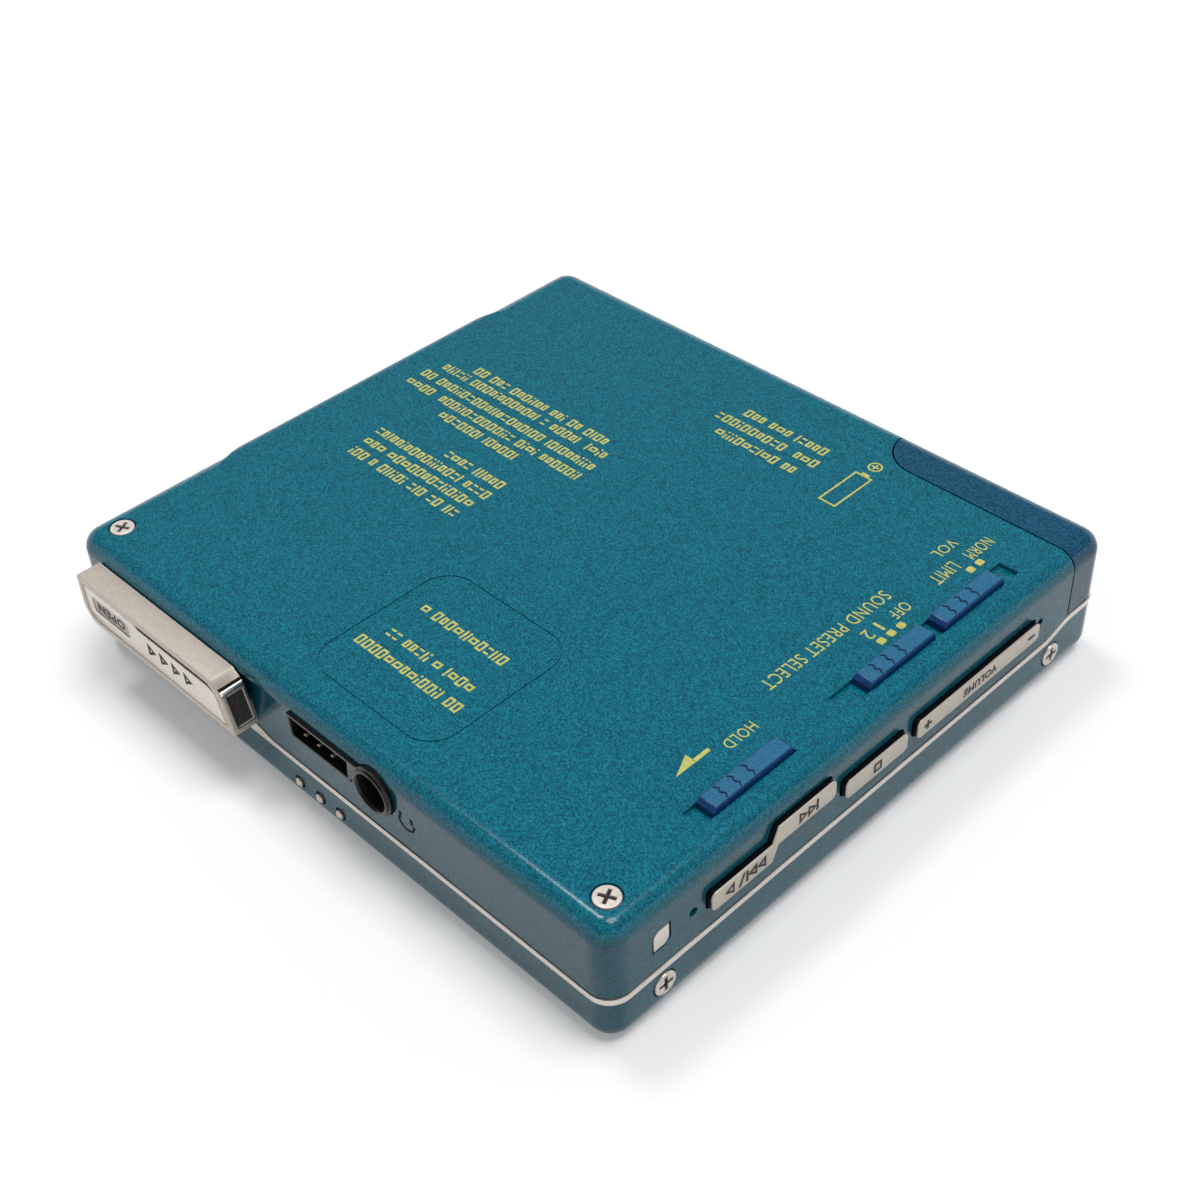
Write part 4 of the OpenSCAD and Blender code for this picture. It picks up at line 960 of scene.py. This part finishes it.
def empty_paint(piece, name):
    """A new finish on the piece: its node tree and its surface socket."""
    paint = bpy.data.materials.new(name)
    paint.use_nodes = True
    paint.node_tree.nodes.clear()
    piece.data.materials.append(paint)
    output = paint.node_tree.nodes.new("ShaderNodeOutputMaterial")
    return paint.node_tree, output.inputs["Surface"]


deselect_all()
bpy.ops.mesh.primitive_plane_add(size=20, location=(0, 0, -FLOOR_DROP * MM))
floor = bpy.context.active_object
floor.name = "floor"
tree, surface = empty_paint(floor, "white floor")
matt = tree.nodes.new("ShaderNodeBsdfDiffuse")
shade = tree.nodes.new("ShaderNodeMix")
shade.data_type = "RGBA"
shade.inputs[COLOUR_A].default_value = (0.2, 0.2, 0.2, 1)
shade.inputs[COLOUR_B].default_value = (0.86, 0.86, 0.86, 1)
both = tree.nodes.new("ShaderNodeAddShader")
tree.links.new(seen_rays(tree), shade.inputs[0])
tree.links.new(shade.outputs[COLOUR_OUT], matt.inputs["Color"])
tree.links.new(matt.outputs[0], both.inputs[0])
tree.links.new(glow(tree, 0.0, 0.21), both.inputs[1])
tree.links.new(both.outputs[0], surface)

deselect_all()
bpy.ops.mesh.primitive_cylinder_add(
    vertices=96, radius=4.0, depth=2.4, end_fill_type="NOTHING", location=(0, 0, 0.4)
)
backdrop = bpy.context.active_object
backdrop.name = "backdrop"
backdrop.visible_shadow = False
tree, surface = empty_paint(backdrop, "white backdrop")
tree.links.new(glow(tree, 0.3, 1.0), surface)

world = bpy.data.worlds.new("studio")
bpy.context.scene.world = world
world.use_nodes = True
sky = world.node_tree.nodes["Background"]
sky.inputs["Color"].default_value = (1, 1, 1, 1)
sky.inputs["Strength"].default_value = 0.3


def broad_light(name, toward, strength, spread):
    """A distant soft light, seen from the object in the given direction."""
    deselect_all()
    bpy.ops.object.light_add(type="SUN", location=toward)
    lamp = bpy.context.active_object
    lamp.name = name
    lamp.data.energy = strength
    lamp.data.angle = math.radians(spread)
    lamp.rotation_euler = Vector(toward).to_track_quat("Z", "Y").to_euler()


broad_light("back_light", (0.05, 0.4, 0.915), 0.65, 14)
broad_light("overhead_light", (0.18, -0.18, 0.967), 1.5, 28)

# Camera, fitted to the corners of the case in the photo

azimuth, elevation, roll = [math.radians(turn) for turn in (-42.851, 40.671, -3.018)]
back = Vector((
    math.sin(azimuth) * math.cos(elevation),
    -math.cos(azimuth) * math.cos(elevation),
    math.sin(elevation),
))
right = (-back).cross(ALONG_Z).normalized()
up = right.cross(-back)
camera_x = math.cos(roll) * right + math.sin(roll) * up
camera_y = -math.sin(roll) * right + math.cos(roll) * up
deselect_all()
bpy.ops.object.camera_add(location=Vector((-98.35, -108.18, 131.06)) * MM)
camera = bpy.context.active_object
camera.rotation_euler = Matrix((camera_x, camera_y, back)).transposed().to_euler()
camera.data.lens = 54.37
camera.data.sensor_width = 36.0
camera.data.clip_start = 0.005
bpy.context.scene.camera = camera
bpy.context.scene.view_settings.view_transform = "Standard"

# Finishes on the CAD nodes

node_finish = {
    TEAL: ["lid_cover", "base_shell"],
    CHAMPAGNE: ["open_slider"],
    PLATE_SILVER: ["lid_trim", "slider_plate"],
    STUD_METAL: ["side_studs"],
    SCREW_STEEL: ["lid_screws"],
    HEAD_STEEL: ["base_screws"],
    SHEET_STEEL: [
        "disc_holder", "lid_catch", "latch_plate", "chassis", "dome_switches", "spindle_motor",
        "sled_motor",
    ],
    ROD_STEEL: ["hinge_pins", "guide_rods", "turntable", "lead_screw"],
    BOARD_GREEN: ["circuit_board", "key_board"],
    BLACK: ["board_chips", "key_frame", "slide_switches", "pickup_sled"],
    GOLD: ["remote_contacts", "battery_spring", "door_contact"],
    PALE_LENS: ["indicator_lens"],
    CELL_WRAP: ["battery_cell"],
    GLOSS_BLACK: ["jack_block", "track_rocker", "stop_key", "volume_rocker"],
    KNOB_BLUE: ["hold_knob", "sound_knob", "limit_knob"],
    DOOR_BLUE: ["battery_door"],
    MAGNET: ["chuck_magnet"],
    LENS_GLASS: ["objective_lens"],
}
for finish, names in node_finish.items():
    for name in names:
        nodes[name].data.materials.clear()
        nodes[name].data.materials.append(finish)
